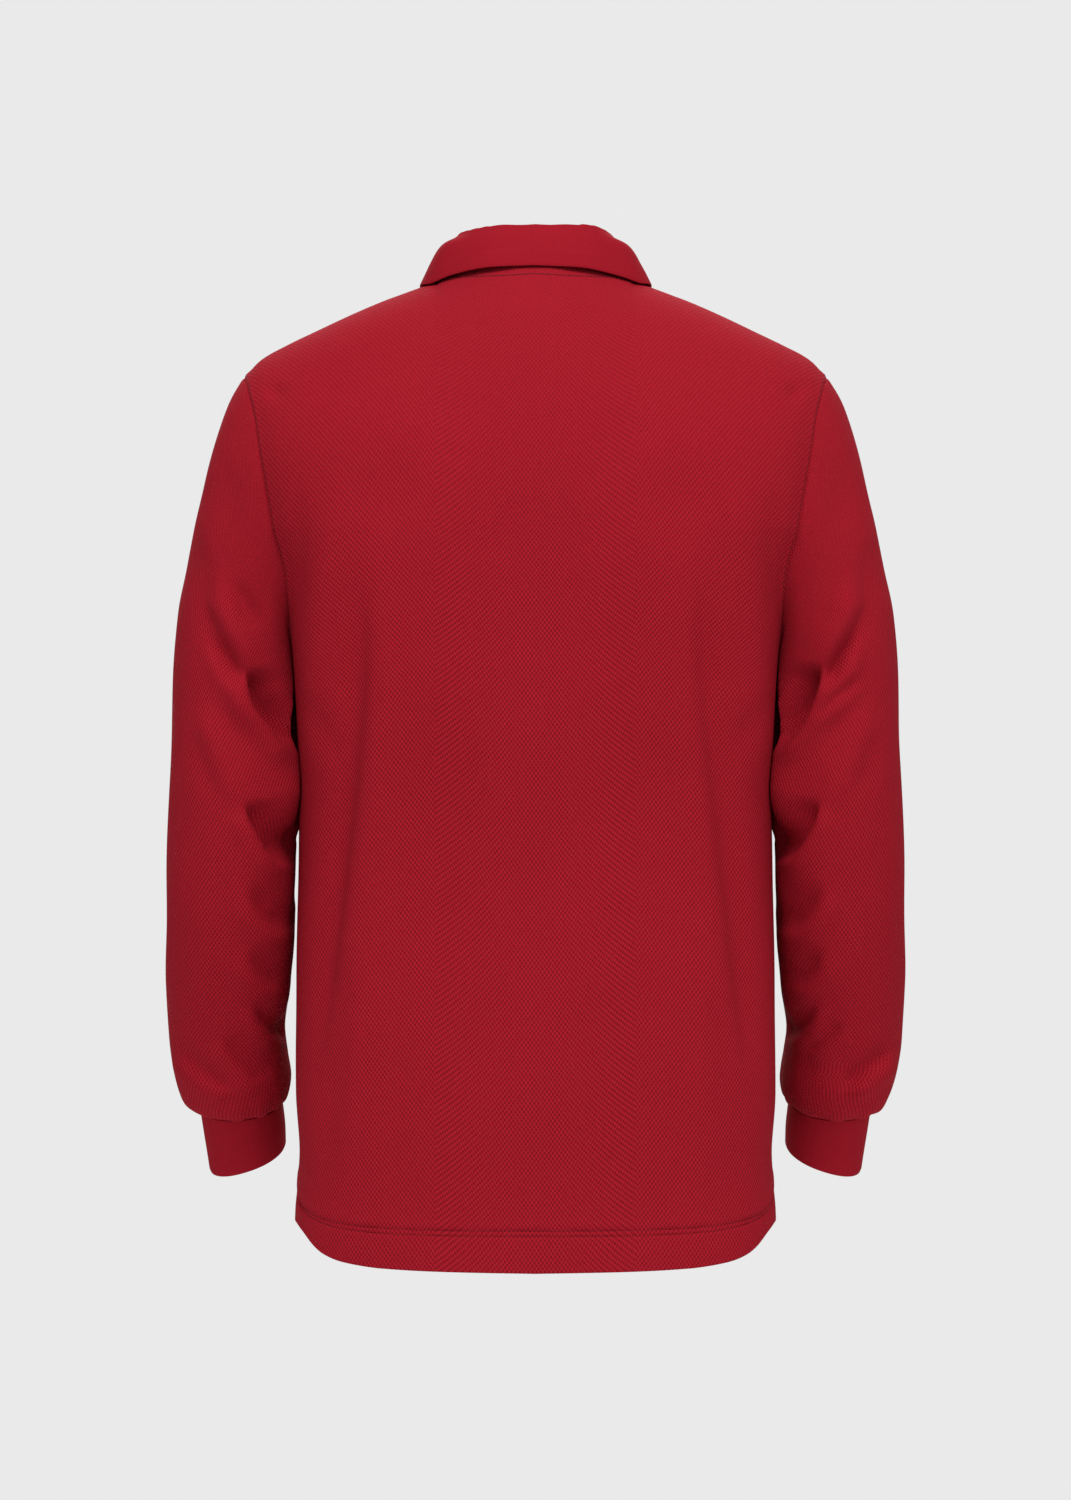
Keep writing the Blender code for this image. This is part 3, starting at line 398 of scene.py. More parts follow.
def makeFlatKnit(name, ribShare):
    # fine rib of the collar and the cuffs, along the cloth's own UV
    s = Shader(name)
    u, v = s.clothUv()
    turn = 2 * math.pi
    rib = s.math("COSINE", s.math("MULTIPLY", u, turn / flatKnit["ribWidth"]))
    course = s.math("COSINE", s.math("MULTIPLY", v, turn / flatKnit["courseHeight"]))
    fuzz = s.noise(1500.0, 2.0, 0.7)
    height = s.math("MULTIPLY_ADD", rib, ribShare, s.math("MULTIPLY", course, 0.25))
    height = s.math("MULTIPLY_ADD", fuzz, 0.5, height)
    tone = s.mottle(s.ramp(height, -0.9, 1.2, 0.30, 0.72), 800.0, 0.18, 12.0, 0.10)
    return s.finish(s.mixColour(tone, flatKnit["dark"], flatKnit["light"]), height, flatKnit["relief"],
                    rough=0.90, sheen=0.03, tint=pique["sheenTint"], specular=0.04)


def makeThreadWithPaintedShade():
    s = Shader("sewing_thread_painted_shade")
    twist = s.noise(2500.0, 1.0)
    # the thread is painted darker than the cloth: partly its own colour, partly painted shade standing for the small
    # grooves that the stitches pull along each line
    colour = s.mixColour(twist, (0.110, 0.0034, 0.0070, 1), (0.200, 0.0066, 0.0136, 1))
    return s.finish(colour, twist, 0.0001, rough=0.60, sheen=0.0, specular=0.25)


def makeButton():
    s = Shader("button_plastic")
    swirl = s.noise(220.0, 3.0)
    colour = s.mixColour(swirl, (0.20, 0.0060, 0.0110, 1), (0.30, 0.0090, 0.0170, 1))
    return s.finish(colour, rough=0.36, sheen=0.0, specular=0.22)


piqueKnit = makePique()
collarKnit = makeFlatKnit("collar_knit", 0.30)
cuffKnit = makeFlatKnit("cuff_rib", 0.45)
threadWithPaintedShade = makeThreadWithPaintedShade()
buttonPlastic = makeButton()
print("materials are made")


# creases, placed one by one

sideSigns = {"left": (1,), "right": (-1,), "both": (1, -1)}


def creaseList(text):
    # one crease a line: side, depth, width | path in x and z | how it differs from a plain hollow
    made = []
    for line in text.splitlines():
        if "|" in line:
            head, path, more = (line + "|").split("|")[:3]
            side, depth, width = head.split()
            words = more.split()
            made.append({"sides": sideSigns[side], "depth": float(depth), "width": float(width),
                         "path": np.array([float(word) for word in path.split()]).reshape(-1, 2),
                         **dict(zip(words[::2], map(float, words[1::2])))})
    return made


def creaseLift(x, z, creases, facing):
    # x, z: places seen from the back or the front; facing: 1 where the cloth looks that way
    lift = np.zeros(x.shape)
    for crease in creases:
        for side in crease["sides"]:
            path = curvePoints(crease["path"] * (side, 1), 5 * len(crease["path"]))
            best = np.full(x.shape, 9.0)
            signed = np.zeros(x.shape)
            share = np.zeros(x.shape)
            for k in range(len(path) - 1):
                run = path[k + 1] - path[k]
                t = ((x - path[k, 0]) * run[0] + (z - path[k, 1]) * run[1]) / (run @ run)
                held = np.clip(t, 0, 1)
                dx, dz = x - path[k, 0] - held * run[0], z - path[k, 1] - held * run[1]
                far = np.hypot(dx, dz)
                nearer = far < best
                turn = np.sign(run[0] * dz - run[1] * dx) * side
                best = np.where(nearer, far, best)
                signed = np.where(nearer, far * turn, signed)
                share = np.where(nearer, (k + held) / (len(path) - 1), share)
            lift += creaseProfile(crease, signed * crease.get("lipSide", 1), share)
    return lift * facing


def creaseProfile(crease, signed, share):
    # a hollow that falls away slowly on one side and climbs steeply on to a roll on the other
    fade = crease.get("fade", 0.25)
    ends = smoothStep(share, -0.02, fade) * smoothStep(1 - share, -0.02, crease.get("tail", fade))
    first, last = crease.get("first", 0.85), crease.get("last", 0.85)
    width = crease["width"] * (0.7 + 0.3 * ends) / 0.85 * (first + (last - first) * share)
    steep = crease.get("steep", 1.0)
    shape = crease["depth"] * np.exp(-((signed / (width * np.where(signed > 0, steep, 1.0))) ** 2))
    lip = crease.get("lip", 0)
    if lip:
        lipWidth = crease.get("lipWidth", 1.0) * crease["width"]
        shape = shape + lip * np.exp(-(((signed - 1.25 * steep * width - 0.6 * lipWidth) / lipWidth) ** 2))
    return shape * ends


# body: back and front

stitching = {
    "pitch": 0.0029,
    "length": 0.0023,
    "width": 0.00056,
    "hemRows": (0.0270, 0.0310),      # above the turned edge
    "armholeIn": 0.0038,
    "shoulderIn": 0.0036,
    "neckTapeDown": (0.0118, 0.0085),    # behind, and at the shoulder
    "placketIn": 0.0022,
    "boxHeight": 0.013,
    "seed": 5,
}
placket = {
    "width": 0.033,
    "proud": 0.0006,
    "cloth": 0.0016,
    "underDepth": 0.0013,
    "underCloth": 0.0015,
    "gap": 0.0003,
}
body = {
    "cloth": 0.0015,
    "hemCloth": 0.0028,
    "edgeRound": 0.0007,
    "seamGap": 0.00001,
    "armholeGap": 0.00012,
    "shoulderLineY": -0.008,
    "neckPointX": 0.074,
    "neckDepth": {"back": 0.070, "front": 0.070},
    "lineZ": {"back": -0.185, "front": -0.235},      # blade line and chest line
    "frontRounding": (1.28, 1.75),                   # at the middle, at the shoulder
    "backRounding": 2.2,
    "hemDrop": 0.0285,
    "hemDropPower": 4.8,
    "hemCorner": 0.03,
    "hemBlend": 0.031,                               # up to here the hem follows its own edge table
    "dropFades": (0.05, 0.26),                       # heights over which the rows turn level
    "hemEnds": (0.0322, 0.0365),                     # where the turned cloth stops
    "facing": (-0.15, 0.35),                         # creases fade where the cloth turns edge on
    "unrest": 0.0006,                                # slow unevenness between the creases
    "calmColumns": 9,                                # creases end over these columns beside a side seam
    "calmRows": 8,                                   # and over these rows below a shoulder seam
    "calmPlacket": 0.35,                             # share of a crease that is left at the placket
    "placketHalf": 0.0165,
    "hemZ": -0.704,
    "refine": 6,                                     # rows of the shell between two rows of the table
}
torso = table("z widestBack widestFront widestY seamX back front square", """
    -.704 .182 .182 0 .182 .127 .125 2.9
    -.675 .1803 .1803 0 .1803 .126 .125 2.9
    -.645 .1787 .1787 0 .1787 .125 .125 2.9
    -.6 .1815 .1815 0 .1815 .124 .126 2.9
    -.521 .1813 .1813 0 .1813 .121 .128 2.8
    -.442 .1797 .1797 0 .1797 .119 .13 2.7
    -.405 .1788 .1788 .005 .1787 .12 .131 2.7
    -.375 .1776 .1776 .013 .1772 .122 .133 2.7
    -.335 .1787 .1783 .027 .177 .126 .136 2.7
    -.3 .1803 .1795 .036 .1782 .129 .138 2.7
    -.272 .1822 .1797 .041 .1788 .131 .139 2.7
    -.246 .1845 .1795 .044 .179 .133 .139 2.7
    -.216 .1893 .1795 .048 .179 .134 .139 2.7
    -.185 .1995 .1795 .05 .179 .134 .138 2.7""")
lowerArmhole = {
    "back": table("z y", """
        -.3 0; -.291 .025; -.272 .046; -.246 .062; -.216 .073; -.185 .08"""),
    "front": table("z y", """
        -.3 0; -.292 .023; -.276 .041; -.256 .055; -.235 .066"""),
}
# how far the turned edge drops below the side seams' ends, by the share of the way to the middle
hemEdge = table("share drop", """
    0 0; .16 .0006; .24 .0046; .28 .009; .315 .0138; .36 .0186; .435 .023; .6 .0266; 1 .0285""")
upperArmhole = {
    "back": table("rise hullY widest", """
        0 .08 .1995; 20 .08 .2087; 40 .08 .2155; 50 .08 .2192; 62 .08 .2226; 75 .08 .2257; 90 .08 .2276"""),
    "front": table("rise hullY widest", """
        0 .066 .1795; 10 .076 .181; 25 .088 .187; 40 .092 .1972; 50 .092 .2085; 60 .092 .22; 75 .092 .2325
        90 .092 .237"""),
}
topRows = {"back": 9, "front": 10}
ridge = table("x z", """
    0 .0338; .04 .0235; .074 .0066; .093 -.0008; .1136 -.0084; .1402 -.0198; .1645 -.0312; .1881 -.0426
    .2086 -.054; .2193 -.065; .2223 -.068; .23 -.078""")
ridgeX = np.concatenate([-ridge["x"][:0:-1], ridge["x"]])
ridgeZ = np.concatenate([ridge["z"][:0:-1], ridge["z"]])

# where the columns stand: close together by the armhole, so that its seam can roll in
neckShares = np.linspace(0, 1, 14)
placketShares = np.linspace(0, 1, 5)[:-1]
sideShares = np.concatenate([np.linspace(0, 0.955, 42)[1:], np.linspace(0.955, 1, 9)[1:]])
lowerHeights = np.concatenate([
    [0, 0.0007, 0.0018, 0.006, 0.011, 0.016, 0.021, 0.0242, 0.0258],
    [0.0270, 0.0282, 0.0296, 0.0310, 0.0322, 0.0338, 0.0365],
    np.linspace(0.041, 0.404, 84)])
neckColumns = len(placketShares) + len(neckShares) - 1


def hullSection(widest, widestY, seamX, depth, square):
    angle = np.linspace(0, math.pi / 2, 300)
    x = widest * np.sin(angle) ** (2 / square)
    y = widestY + (depth - widestY) * np.cos(angle) ** (2 / square)
    if widestY > 0:
        inY = np.linspace(widestY, 0, 60)[1:]
        x = np.concatenate([x, widest - (widest - seamX) * ((widestY - inY) / widestY) ** 2])
        y = np.concatenate([y, inY])
    return x, y, np.concatenate([[0], np.cumsum(np.hypot(np.diff(x), np.diff(y)))])


def torsoSection(z, side):
    widest = "widestBack" if side == "back" else "widestFront"
    return hullSection(*(float(through(z, torso["z"], torso[n])) for n in (widest, "widestY", "seamX", side, "square")))


def columnLengths(section, neckX, cutY):
    x, y, far = section
    widest = int(np.argmax(x)) + 1
    near = np.interp(neckX, x[:widest], far[:widest])
    end = np.interp(-cutY, -y, far)
    return np.concatenate([near, near[-1] + (end - near[-1]) * sideShares])


def neckSpread(topShare):
    first = body["placketHalf"]
    even = first + (body["neckPointX"] - first) * neckShares
    start = math.asin(first / body["neckPointX"])
    arc = body["neckPointX"] * np.sin(start + neckShares * (math.pi / 2 - start))
    blend = topShare ** 2
    return np.concatenate([placketShares * first, even * (1 - blend) + arc * blend])


def lowerRow(height, side):
    z = body["hemZ"] + height
    x, y, far = section = torsoSection(z, side)
    along = columnLengths(section, neckSpread(0), 0.0)
    fade = 1 - smoothStep(height, *body["dropFades"])
    inFrom = 1 - along / along[-1]
    edge = through(inFrom, hemEdge["share"], hemEdge["drop"])
    inFrom = inFrom ** 2 / (inFrom + body["hemCorner"])
    drop = body["hemDrop"] * (1 - (1 - inFrom) ** body["hemDropPower"])
    drop = fade * (edge + (drop - edge) * min(height / body["hemBlend"], 1))
    return np.stack([np.interp(along, far, x), np.interp(along, far, y), z - drop], axis=1)


def seamRow(step, side):
    hole = lowerArmhole[side]
    steps = np.arange(len(hole["z"]))
    seamZ, seamY = float(through(step, steps, hole["z"])), float(through(step, steps, hole["y"]))
    middleZ = hole["z"][0] + (hole["z"][-1] - hole["z"][0]) * step / steps[-1]
    along = columnLengths(torsoSection(seamZ, side), neckSpread(0), seamY)
    z = middleZ + (seamZ - middleZ) * (along / along[-1]) ** 2.5
    row = []
    for level, far in zip(z, along):
        x, y, length = torsoSection(level, side)
        row.append((np.interp(far, length, x), np.interp(far, length, y), level))
    return np.array(row)


def topRow(share, side):
    lineZ, hole = body["lineZ"][side], upperArmhole[side]
    way = 1 if side == "back" else -1
    widestY, depth, square = (float(through(lineZ, torso["z"], torso[n])) for n in ("widestY", side, "square"))
    cutY, widest = (float(through(90 * share, hole["rise"], hole[n])) for n in ("hullY", "widest"))
    section = hullSection(widest, widestY, widest, depth, square)
    along = columnLengths(section, neckSpread(share), cutY)
    x, y = np.interp(along, section[2], section[0]), np.interp(along, section[2], section[1])
    shoulderY = body["shoulderLineY"] * way
    reach = y - shoulderY
    if side == "back":
        rounding = np.full(len(x), body["backRounding"])
    else:
        low, high = body["frontRounding"]
        rounding = low + (high - low) * smoothStep(x, 0.06, 0.19)
    inside = np.clip(1 - (np.minimum(x, body["neckPointX"]) / body["neckPointX"]) ** 2, 0, 1)
    highest = np.arccos(np.clip((body["neckDepth"][side] * np.sqrt(inside) / reach) ** (rounding / 2), 0, 1))
    angle = highest * share
    y = shoulderY + reach * np.cos(angle) ** (2 / rounding)
    z = lineZ + (through(x, ridgeX, ridgeZ) - lineZ) * np.sin(angle) ** (2 / rounding)
    return np.stack([x, y, z], axis=1)


def panelGrid(side):
    k = body["refine"]
    seamSteps = (len(lowerArmhole[side]["z"]) - 1) * k
    rows = [lowerRow(height, side) for height in lowerHeights]
    rows += [seamRow(i / k, side) for i in range(1, seamSteps + 1)]
    rows += [topRow(i / (topRows[side] * k), side) for i in range(1, topRows[side] * k + 1)]
    half = np.array(rows)
    # the neck point leaves a faint kink in the rows below it: soften it, but not at the very edge
    high = topRows[side] * k
    share = np.concatenate([np.zeros(len(half) - high), np.arange(1, high + 1) / high])
    keep = (share ** 10)[:, None, None]
    span = slice(neckColumns - 9, neckColumns + 10)
    wide = slice(neckColumns - 10, neckColumns + 11)
    for _ in range(24):
        area = half[:, wide, 1:]
        soft = (area[:, :-2] + 2 * area[:, 1:-1] + area[:, 2:]) / 4
        half[:, span, 1:] = half[:, span, 1:] * keep + soft * (1 - keep)
    if side == "front":
        half[..., 1] *= -1
    return np.concatenate([half[:, :0:-1] * (-1, 1, 1), half], axis=1)


backCreases = creaseList("""
    # the two long troughs from below the arms
    left -.0078 .012 | .128 -.215 .131 -.297 .138 -.377 .149 -.458 .158 -.527 .167 -.61 \
        | steep .75 lip .0024 lipSide -1 lipWidth 1.3
    right -.0072 .0125 | .12 -.215 .129 -.324 .143 -.431 .156 -.535 .164 -.62 \
        | steep .75 lip .0024 lipSide -1 lipWidth 1.3
    both .003 .011 | .141 -.145 .16 -.24 .167 -.324 .17 -.385
    both .0022 .013 | .098 -.2 .116 -.281 .129 -.404 .142 -.5 | fade .4
    both -.004 .026 | .1 -.12 .106 -.165 .112 -.215 | fade .5
    both -.0026 .008 | .188 -.076 .198 -.092 | fade .5
    left -.0034 .011 | .139 -.489 .149 -.577 .158 -.68
    right -.0028 .013 | .131 -.52 .144 -.6 .149 -.695
    left -.0022 .026 | .06 -.33 .066 -.47 .078 -.64 | fade .5
    right -.002 .024 | .052 -.4 .06 -.52 .064 -.69 | fade .5
    left .0014 .03 | .006 -.25 0 -.42 -.008 -.64 | fade .5
    both -.003 .01 | .172 -.15 .178 -.205 .176 -.262 | fade .4
    both -.0026 .01 | .176 -.3 .16 -.33 .143 -.372 | fade .5""")
frontCreases = creaseList("""
    left -.005 .015 | .12 -.215 .13 -.3 .146 -.42 .157 -.52 .163 -.61 | lip .0016 lipSide -1
    right -.0044 .014 | .126 -.225 .134 -.31 .143 -.41 .155 -.5 .165 -.6 | lip .0014 lipSide -1
    both -.003 .012 | .15 -.13 .158 -.18 .16 -.24 | fade .4
    both -.0026 .011 | .168 -.285 .146 -.3 .118 -.33 | fade .5
    both -.0018 .016 | .128 -.11 .12 -.15 .104 -.185 | fade .5
    left -.002 .024 | .07 -.3 .08 -.42 .094 -.6 | fade .5
    right -.0018 .022 | .06 -.33 .074 -.48 .08 -.66 | fade .5
    both -.0018 .013 | .11 -.52 .122 -.6 .126 -.69""")


# depth and width of what sewing does to the cloth beside it
sewn = {
    "roll": (-0.0007, 0.0016),         # armhole edge, turned in
    "sideRoll": (-0.0005, 0.0016),
    "allowance": (0.0006, 0.0030),     # doubled cloth beside the armhole
    "allowanceIn": 0.0042,
    "groove": (-0.0009, 0.0010),       # under each hem row
    "puff": (0.0006, 0.0022),          # above the hem
    "puffHeight": 0.0345,
    "hemPuff": (0.0003, 0.009),        # between edge and rows
    "hemPuffHeight": 0.013,
    "shoulder": (0.0004, 1.2),         # this width counts rows
    "sleeveTop": (-0.0005, 0.0018),
    "sleeveEnd": (-0.0006, 0.0020),
}


def dent(name, far):
    depth, wide = sewn[name]
    return depth * mound(far, wide)


def seamRoll(grid):
    # both edges of a sewn seam turn in a little, and at the armhole the doubled allowance stands up beside it
    far = runs(grid, 1)
    armhole = (np.arange(len(grid)) >= len(lowerHeights) - 1)[:, None]
    lift = np.zeros(grid.shape[:2])
    for edge in (far, far[:, -1:] - far):
        roll = dent("roll", edge) + dent("allowance", edge - sewn["allowanceIn"])
        lift += np.where(armhole, roll, dent("sideRoll", edge))
    return lift


def hemRelief(grid, side):
    # the two rows of stitching pull thin grooves into the turned hem
    heights = np.concatenate([lowerHeights, np.full(grid.shape[0] - len(lowerHeights), 1.0)])[:, None]
    groove = sum(dent("groove", heights - at) for at in stitching["hemRows"])
    puff = dent("puff", heights - sewn["puffHeight"]) + dent("hemPuff", heights - sewn["hemPuffHeight"])
    ripple = 1 + 0.5 * waver(grid[..., 0], 3 if side == "back" else 4, 0.009)
    return (groove + puff) * ripple


def finishPanels():
    grids = {side: panelGrid(side) for side in ("back", "front")}
    middle = grids["back"].shape[1] // 2
    count = len(lowerHeights)
    sides = [(slice(0, count), edge) for edge in (0, -1)]
    shoulders = [(-1, slice(0, middle - neckColumns + 1)), (-1, slice(middle + neckColumns, None))]
    panels = {}
    for side, grid in grids.items():
        flip = side == "back"
        for shoulder in shoulders:
            grid[shoulder] = grids["back"][shoulder]
        uv = gridUv(grid)
        normals = gridNormals(grid, flip=flip)
        facing = smoothStep(normals[..., 1] * (1 if flip else -1), *body["facing"])
        creases = backCreases if flip else frontCreases
        lift = creaseLift(grid[..., 0], grid[..., 2], creases, facing)
        slant = grid[..., 0] + 0.4 * grid[..., 2]
        lift += body["unrest"] * waver(slant, 11 if flip else 12, 0.035) * waver(grid[..., 2], 13, 0.07)
        hold = np.ones(grid.shape[:2])
        ends, top = body["calmColumns"], body["calmRows"]
        near = np.linspace(0, 1, ends)[None, :]
        hold[:, :ends] *= near
        hold[:, -ends:] *= near[:, ::-1]
        hold[-top:] *= np.linspace(1, 0, top)[:, None]
        if side == "front":
            least = body["calmPlacket"]
            beside = np.abs(np.arange(grid.shape[1]) - middle)
            hold[count:] *= (least + (1 - least) * smoothStep(beside, 3, 10))[None, :]
        lift = lift * hold + seamRoll(grid) + hemRelief(grid, side)
        shoulderDip = dent("shoulder", np.arange(grid.shape[0])[::-1])[:, None]
        outside = np.abs(np.arange(grid.shape[1]) - middle) >= neckColumns
        lift -= shoulderDip * outside[None, :]
        moved = grid + normals * lift[..., None]
        panels[side] = {"grid": moved, "normals": gridNormals(moved, flip=flip), "uv": uv}
    back, front = panels["back"], panels["front"]
    for seam in sides + shoulders:
        back["normals"][seam] = front["normals"][seam] = unit(back["normals"][seam] + front["normals"][seam])
        back["grid"][seam] = front["grid"][seam] = (back["grid"][seam] + front["grid"][seam]) / 2
    return panels


def sharedLean(own, other):
    agree = (own * other).sum(axis=-1, keepdims=True)
    return unit(own + other * smoothStep(agree, -0.3, 0.4))


def inward(points, normals, lean, thickness):
    cosine = np.clip((normals * lean).sum(axis=-1, keepdims=True), 0.6, 1)
    return points - lean * thickness / cosine


def armholeLoop(panels, what):
    start = len(lowerHeights) - 1
    back = panels["back"][what][start:, -1][::-1]
    front = panels["front"][what][start:, -1]
    return np.concatenate([back, front[1:-1]])


def buildPanel(side, panels, sleeveWays):
    grid, normals = panels[side]["grid"], panels[side]["normals"]
    rows, columns = grid.shape[:2]
    count, middle = len(lowerHeights), columns // 2
    half = body["seamGap"] / 2
    lean = normals.copy()
    lean[count - 1 :, -1] = sharedLean(normals[count - 1 :, -1], sleeveWays)
    lean[count - 1 :, 0] = sharedLean(normals[count - 1 :, 0], sleeveWays * (-1, 1, 1))
    move = np.zeros(grid.shape)
    move[:count, 0] = half * unit(grid[:count, 1] - grid[:count, 0])
    move[:count, -1] = half * unit(grid[:count, -2] - grid[:count, -1])
    shoulders = np.abs(np.arange(columns) - middle) >= neckColumns
    move[-1, shoulders] += half * unit(grid[-2, shoulders] - grid[-1, shoulders])
    hem = 1 - smoothStep(np.concatenate([lowerHeights, np.full(rows - count, 1.0)]), *body["hemEnds"])
    thickness = body["cloth"] + (body["hemCloth"] - body["cloth"]) * hem[:, None, None]
    inner = inward(grid, normals, lean, thickness) + move
    outer = grid + move
    # the turned edge of the hem is round
    outer[0] -= normals[0] * body["edgeRound"]
    inner[0] += normals[0] * body["edgeRound"]
    slit = slitRow()
    reach = len(placketShares)

    def keep(r, c):
        inSlit = (r >= slit) & (c >= middle - reach) & (c < middle + reach)
        return ~inSlit if side == "front" else np.ones(len(r), bool)

    cells = gridCells(rows, columns, flip=side == "back", keep=keep)
    return wallMesh("cloth_" + side, outer, inner, cells, panels[side]["uv"], piqueKnit)


def slitRow():
    return len(lowerHeights) - 1 + (len(lowerArmhole["front"]["z"]) - 1) * body["refine"]


def placketArea(grid):
    middle, reach = grid.shape[1] // 2, len(placketShares)
    return slice(slitRow(), None), slice(middle - reach, middle + reach + 1)


def bodySkin(panels):
    points, faces = [], []
    for side in ("back", "front"):
        skin = panels[side]["grid"].copy()
        if side == "front":
            skin[placketArea(skin)] += panels[side]["normals"][placketArea(skin)] * placket["proud"]
        start = len(points)
        points += [tuple(p) for p in skin.reshape(-1, 3)]
        faces += (gridCells(*skin.shape[:2], flip=side == "back") + start).tolist()
    return BVHTree.FromPolygons(points, faces)


panels = finishPanels()
skin = bodySkin(panels)
print("body panels are shaped:", panels["back"]["grid"].shape[:2])


# sleeves and cuffs

sleeve = {
    "cloth": 0.0015,
    "rings": 252,
    "ringBunch": 0.06,        # how much closer the rings stand by the armhole and by the cuff
    "firstRing": 0.0022,
    "innerRound": 0.10,       # how much flatter the section is next to the body, lower down
    "roundFrom": (0.45, 0.7),
    "blend": 8 / 27,          # share of the way over which the armhole's own shape fades out
    "gatherDepth": 0.0011,
    "clearance": 0.0007,      # to the side of the body
    "clearFrom": 0.012,       # no clearing this close to the armhole
    "pressRatio": (0.50, 0.95),     # the bulge on to the body fades towards the front and the back
    "pressX": (0.190, 0.232),       # and towards the outer side
    "outerHalf": (0.212, 0.240),
    "outerFacing": (0.02, 0.42),    # where the outer half takes the creases of the side it faces
    "innerRatio": (-0.12, 0.20),    # and the inner half
    "pressFar": (0.006, 0.03),      # below the armhole
    "nearBody": (0.205, 0.200),     # inside this x it is kept clear: the plain form, and the creased one
    "pocketX": (0.172, 0.194),      # the pockets close where the sleeve rests on the body
    "pocketZ": (-0.405, -0.370),
    "pocketClose": 0.85,
    "gatherWide": 0.024,
    "pleats": 13,
    "cuffCloth": 0.0020,
    "cuffEdgeRound": 0.0006,
    "cuffRings": 26,
}
sleeveRows = table("outerX outerZ innerX innerZ middleY depth tip square", """
    .2223 -.068 .1786 -.3 0 .079 0 2.3
    .2325 -.086 .1793 -.3045 0 .0785 0 2.3
    .2413 -.111 .1797 -.3095 .001 .078 0 2.3
    .2474 -.1338 .18 -.315 .002 .0775 0 2.3
    .2523 -.1566 .1802 -.3215 .002 .077 0 2.3
    .2573 -.179 .1803 -.329 .003 .0765 0 2.3
    .2641 -.2136 .1804 -.339 .004 .0755 0 2.3
    .271 -.2478 .1805 -.351 .005 .0745 0 2.3
    .2747 -.2934 .1806 -.369 .006 .0725 0 2.3
    .2757 -.339 .1809 -.393 .007 .07 3 2.3
    .2778 -.3846 .182 -.423 .005 .067 9 2.3
    .2797 -.43 .1828 -.455 0 .064 15 2.3
    .2806 -.476 .184 -.49 -.011 .061 19 2.3
    .2824 -.5225 .1875 -.53 -.027 .0585 21 2.3
    .282 -.566 .193 -.566 -.044 .056 21 2.3
    .28 -.587 .1912 -.587 -.052 .0555 21 2.3
    .2762 -.6057 .1892 -.603 -.059 .053 20 2.3
    .2709 -.618 .192 -.6165 -.064 .0465 19 2.3
    .2605 -.6248 .1965 -.621 -.068 .037 18 2.2""")
cuffRows = table("outerX outerZ innerX innerZ middleY depth tip square", """
    .2602 -.6256 .1967 -.6218 -.0685 .0365 18 2.2
    .2585 -.64 .1956 -.6325 -.074 .0355 18 2.2
    .2562 -.658 .1948 -.6455 -.0805 .0348 18 2.2
    .2541 -.6753 .1949 -.658 -.087 .034 18 2.2""")
sleeveBackCreases = creaseList("""
    # the deep pocket under the arm, its lower edge sharp
    left -.017 .0185 | .2135 -.2905 .2109 -.2973 .2044 -.3158 .193 -.33 .1846 -.34 .1788 -.346 .172 -.352 \
        | steep .26 lip .0054 lipWidth .5 fade .2 tail .24 first .55 last 1
    right -.017 .0185 | .211 -.287 .207 -.298 .199 -.319 .1896 -.3335 .1784 -.3445 .17 -.351 \
        | steep .26 lip .0052 lipWidth .5 fade .2 tail .24 first .55 last 1
    # second pocket
    left -.0125 .019 | .2155 -.3885 .213 -.394 .2044 -.4082 .1959 -.421 .1902 -.4281 .18 -.4365 \
        | steep .26 lip .0044 lipWidth .5 fade .25 tail .3 first .5 last 1.1
    right -.0125 .0185 | .211 -.388 .2074 -.394 .1985 -.4115 .188 -.425 .176 -.434 \
        | steep .26 lip .0044 lipWidth .5 fade .25 tail .3 first .5 last 1.1
    # softer ones down the inner side
    both -.0062 .013 | .213 -.447 .205 -.463 .195 -.477 .18 -.486 | steep .55 lip .0026 lipWidth .7 fade .45 tail .32
    both -.0048 .012 | .214 -.496 .203 -.517 .188 -.53 | steep .6 lip .002 lipWidth .7 fade .45 tail .32
    both -.0058 .011 | .212 -.538 .203 -.556 .187 -.574 | steep .5 lip .0028 lipWidth .7 fade .45 tail .32
    left -.0034 .009 | .236 -.566 .221 -.588 .203 -.605 | steep .6 lip .0016
    right -.003 .008 | .232 -.556 .216 -.571 .203 -.578 | steep .6 lip .0014
    # light ridges that run down and in over the elbow
    both .0054 .01 | .24 -.215 .229 -.248 .216 -.276 .208 -.292 | fade .4
    both -.0032 .012 | .25 -.236 .2428 -.25 .23 -.275 .2203 -.2931 .214 -.304 \
        | steep .4 lip .0018 lipSide -1 lipWidth .7 fade .3
    left -.0036 .008 | .226 -.222 .214 -.244 .203 -.262 | fade .4
    both .0046 .0085 | .246 -.268 .233 -.292 .219 -.318 .207 -.338 | fade .35
    left -.004 .0065 | .241 -.262 .229 -.284 .219 -.303 | fade .35
    right -.005 .0055 | .2404 -.2574 .2233 -.2864 .2151 -.3073 | steep .7 lip .002 fade .3
    right -.0044 .0055 | .2426 -.2953 .2233 -.3101 .2084 -.3295 | steep .7 lip .0018 fade .35
    both .004 .011 | .25 -.312 .237 -.35 .224 -.38 .213 -.4 | fade .35
    both -.0026 .009 | .255 -.33 .246 -.362 .236 -.392 | fade .4
    # the blouse over the cuff
    left -.0026 .0075 | .273 -.575 .254 -.594 .228 -.609 | steep .6 lip .0026
    right -.0052 .0075 | .274 -.575 .2466 -.5951 .2314 -.611 | steep .6 lip .0056 lipWidth 1.1 fade .3
    both -.0022 .012 | .262 -.18 .249 -.222 .243 -.256 | fade .4
    both -.003 .013 | .236 -.12 .231 -.16 .22 -.206 | fade .5
    both -.0016 .016 | .262 -.345 .256 -.42 .25 -.5 | fade .5
    both -.0022 .014 | .24 -.42 .232 -.47 .22 -.52 | fade .5""")
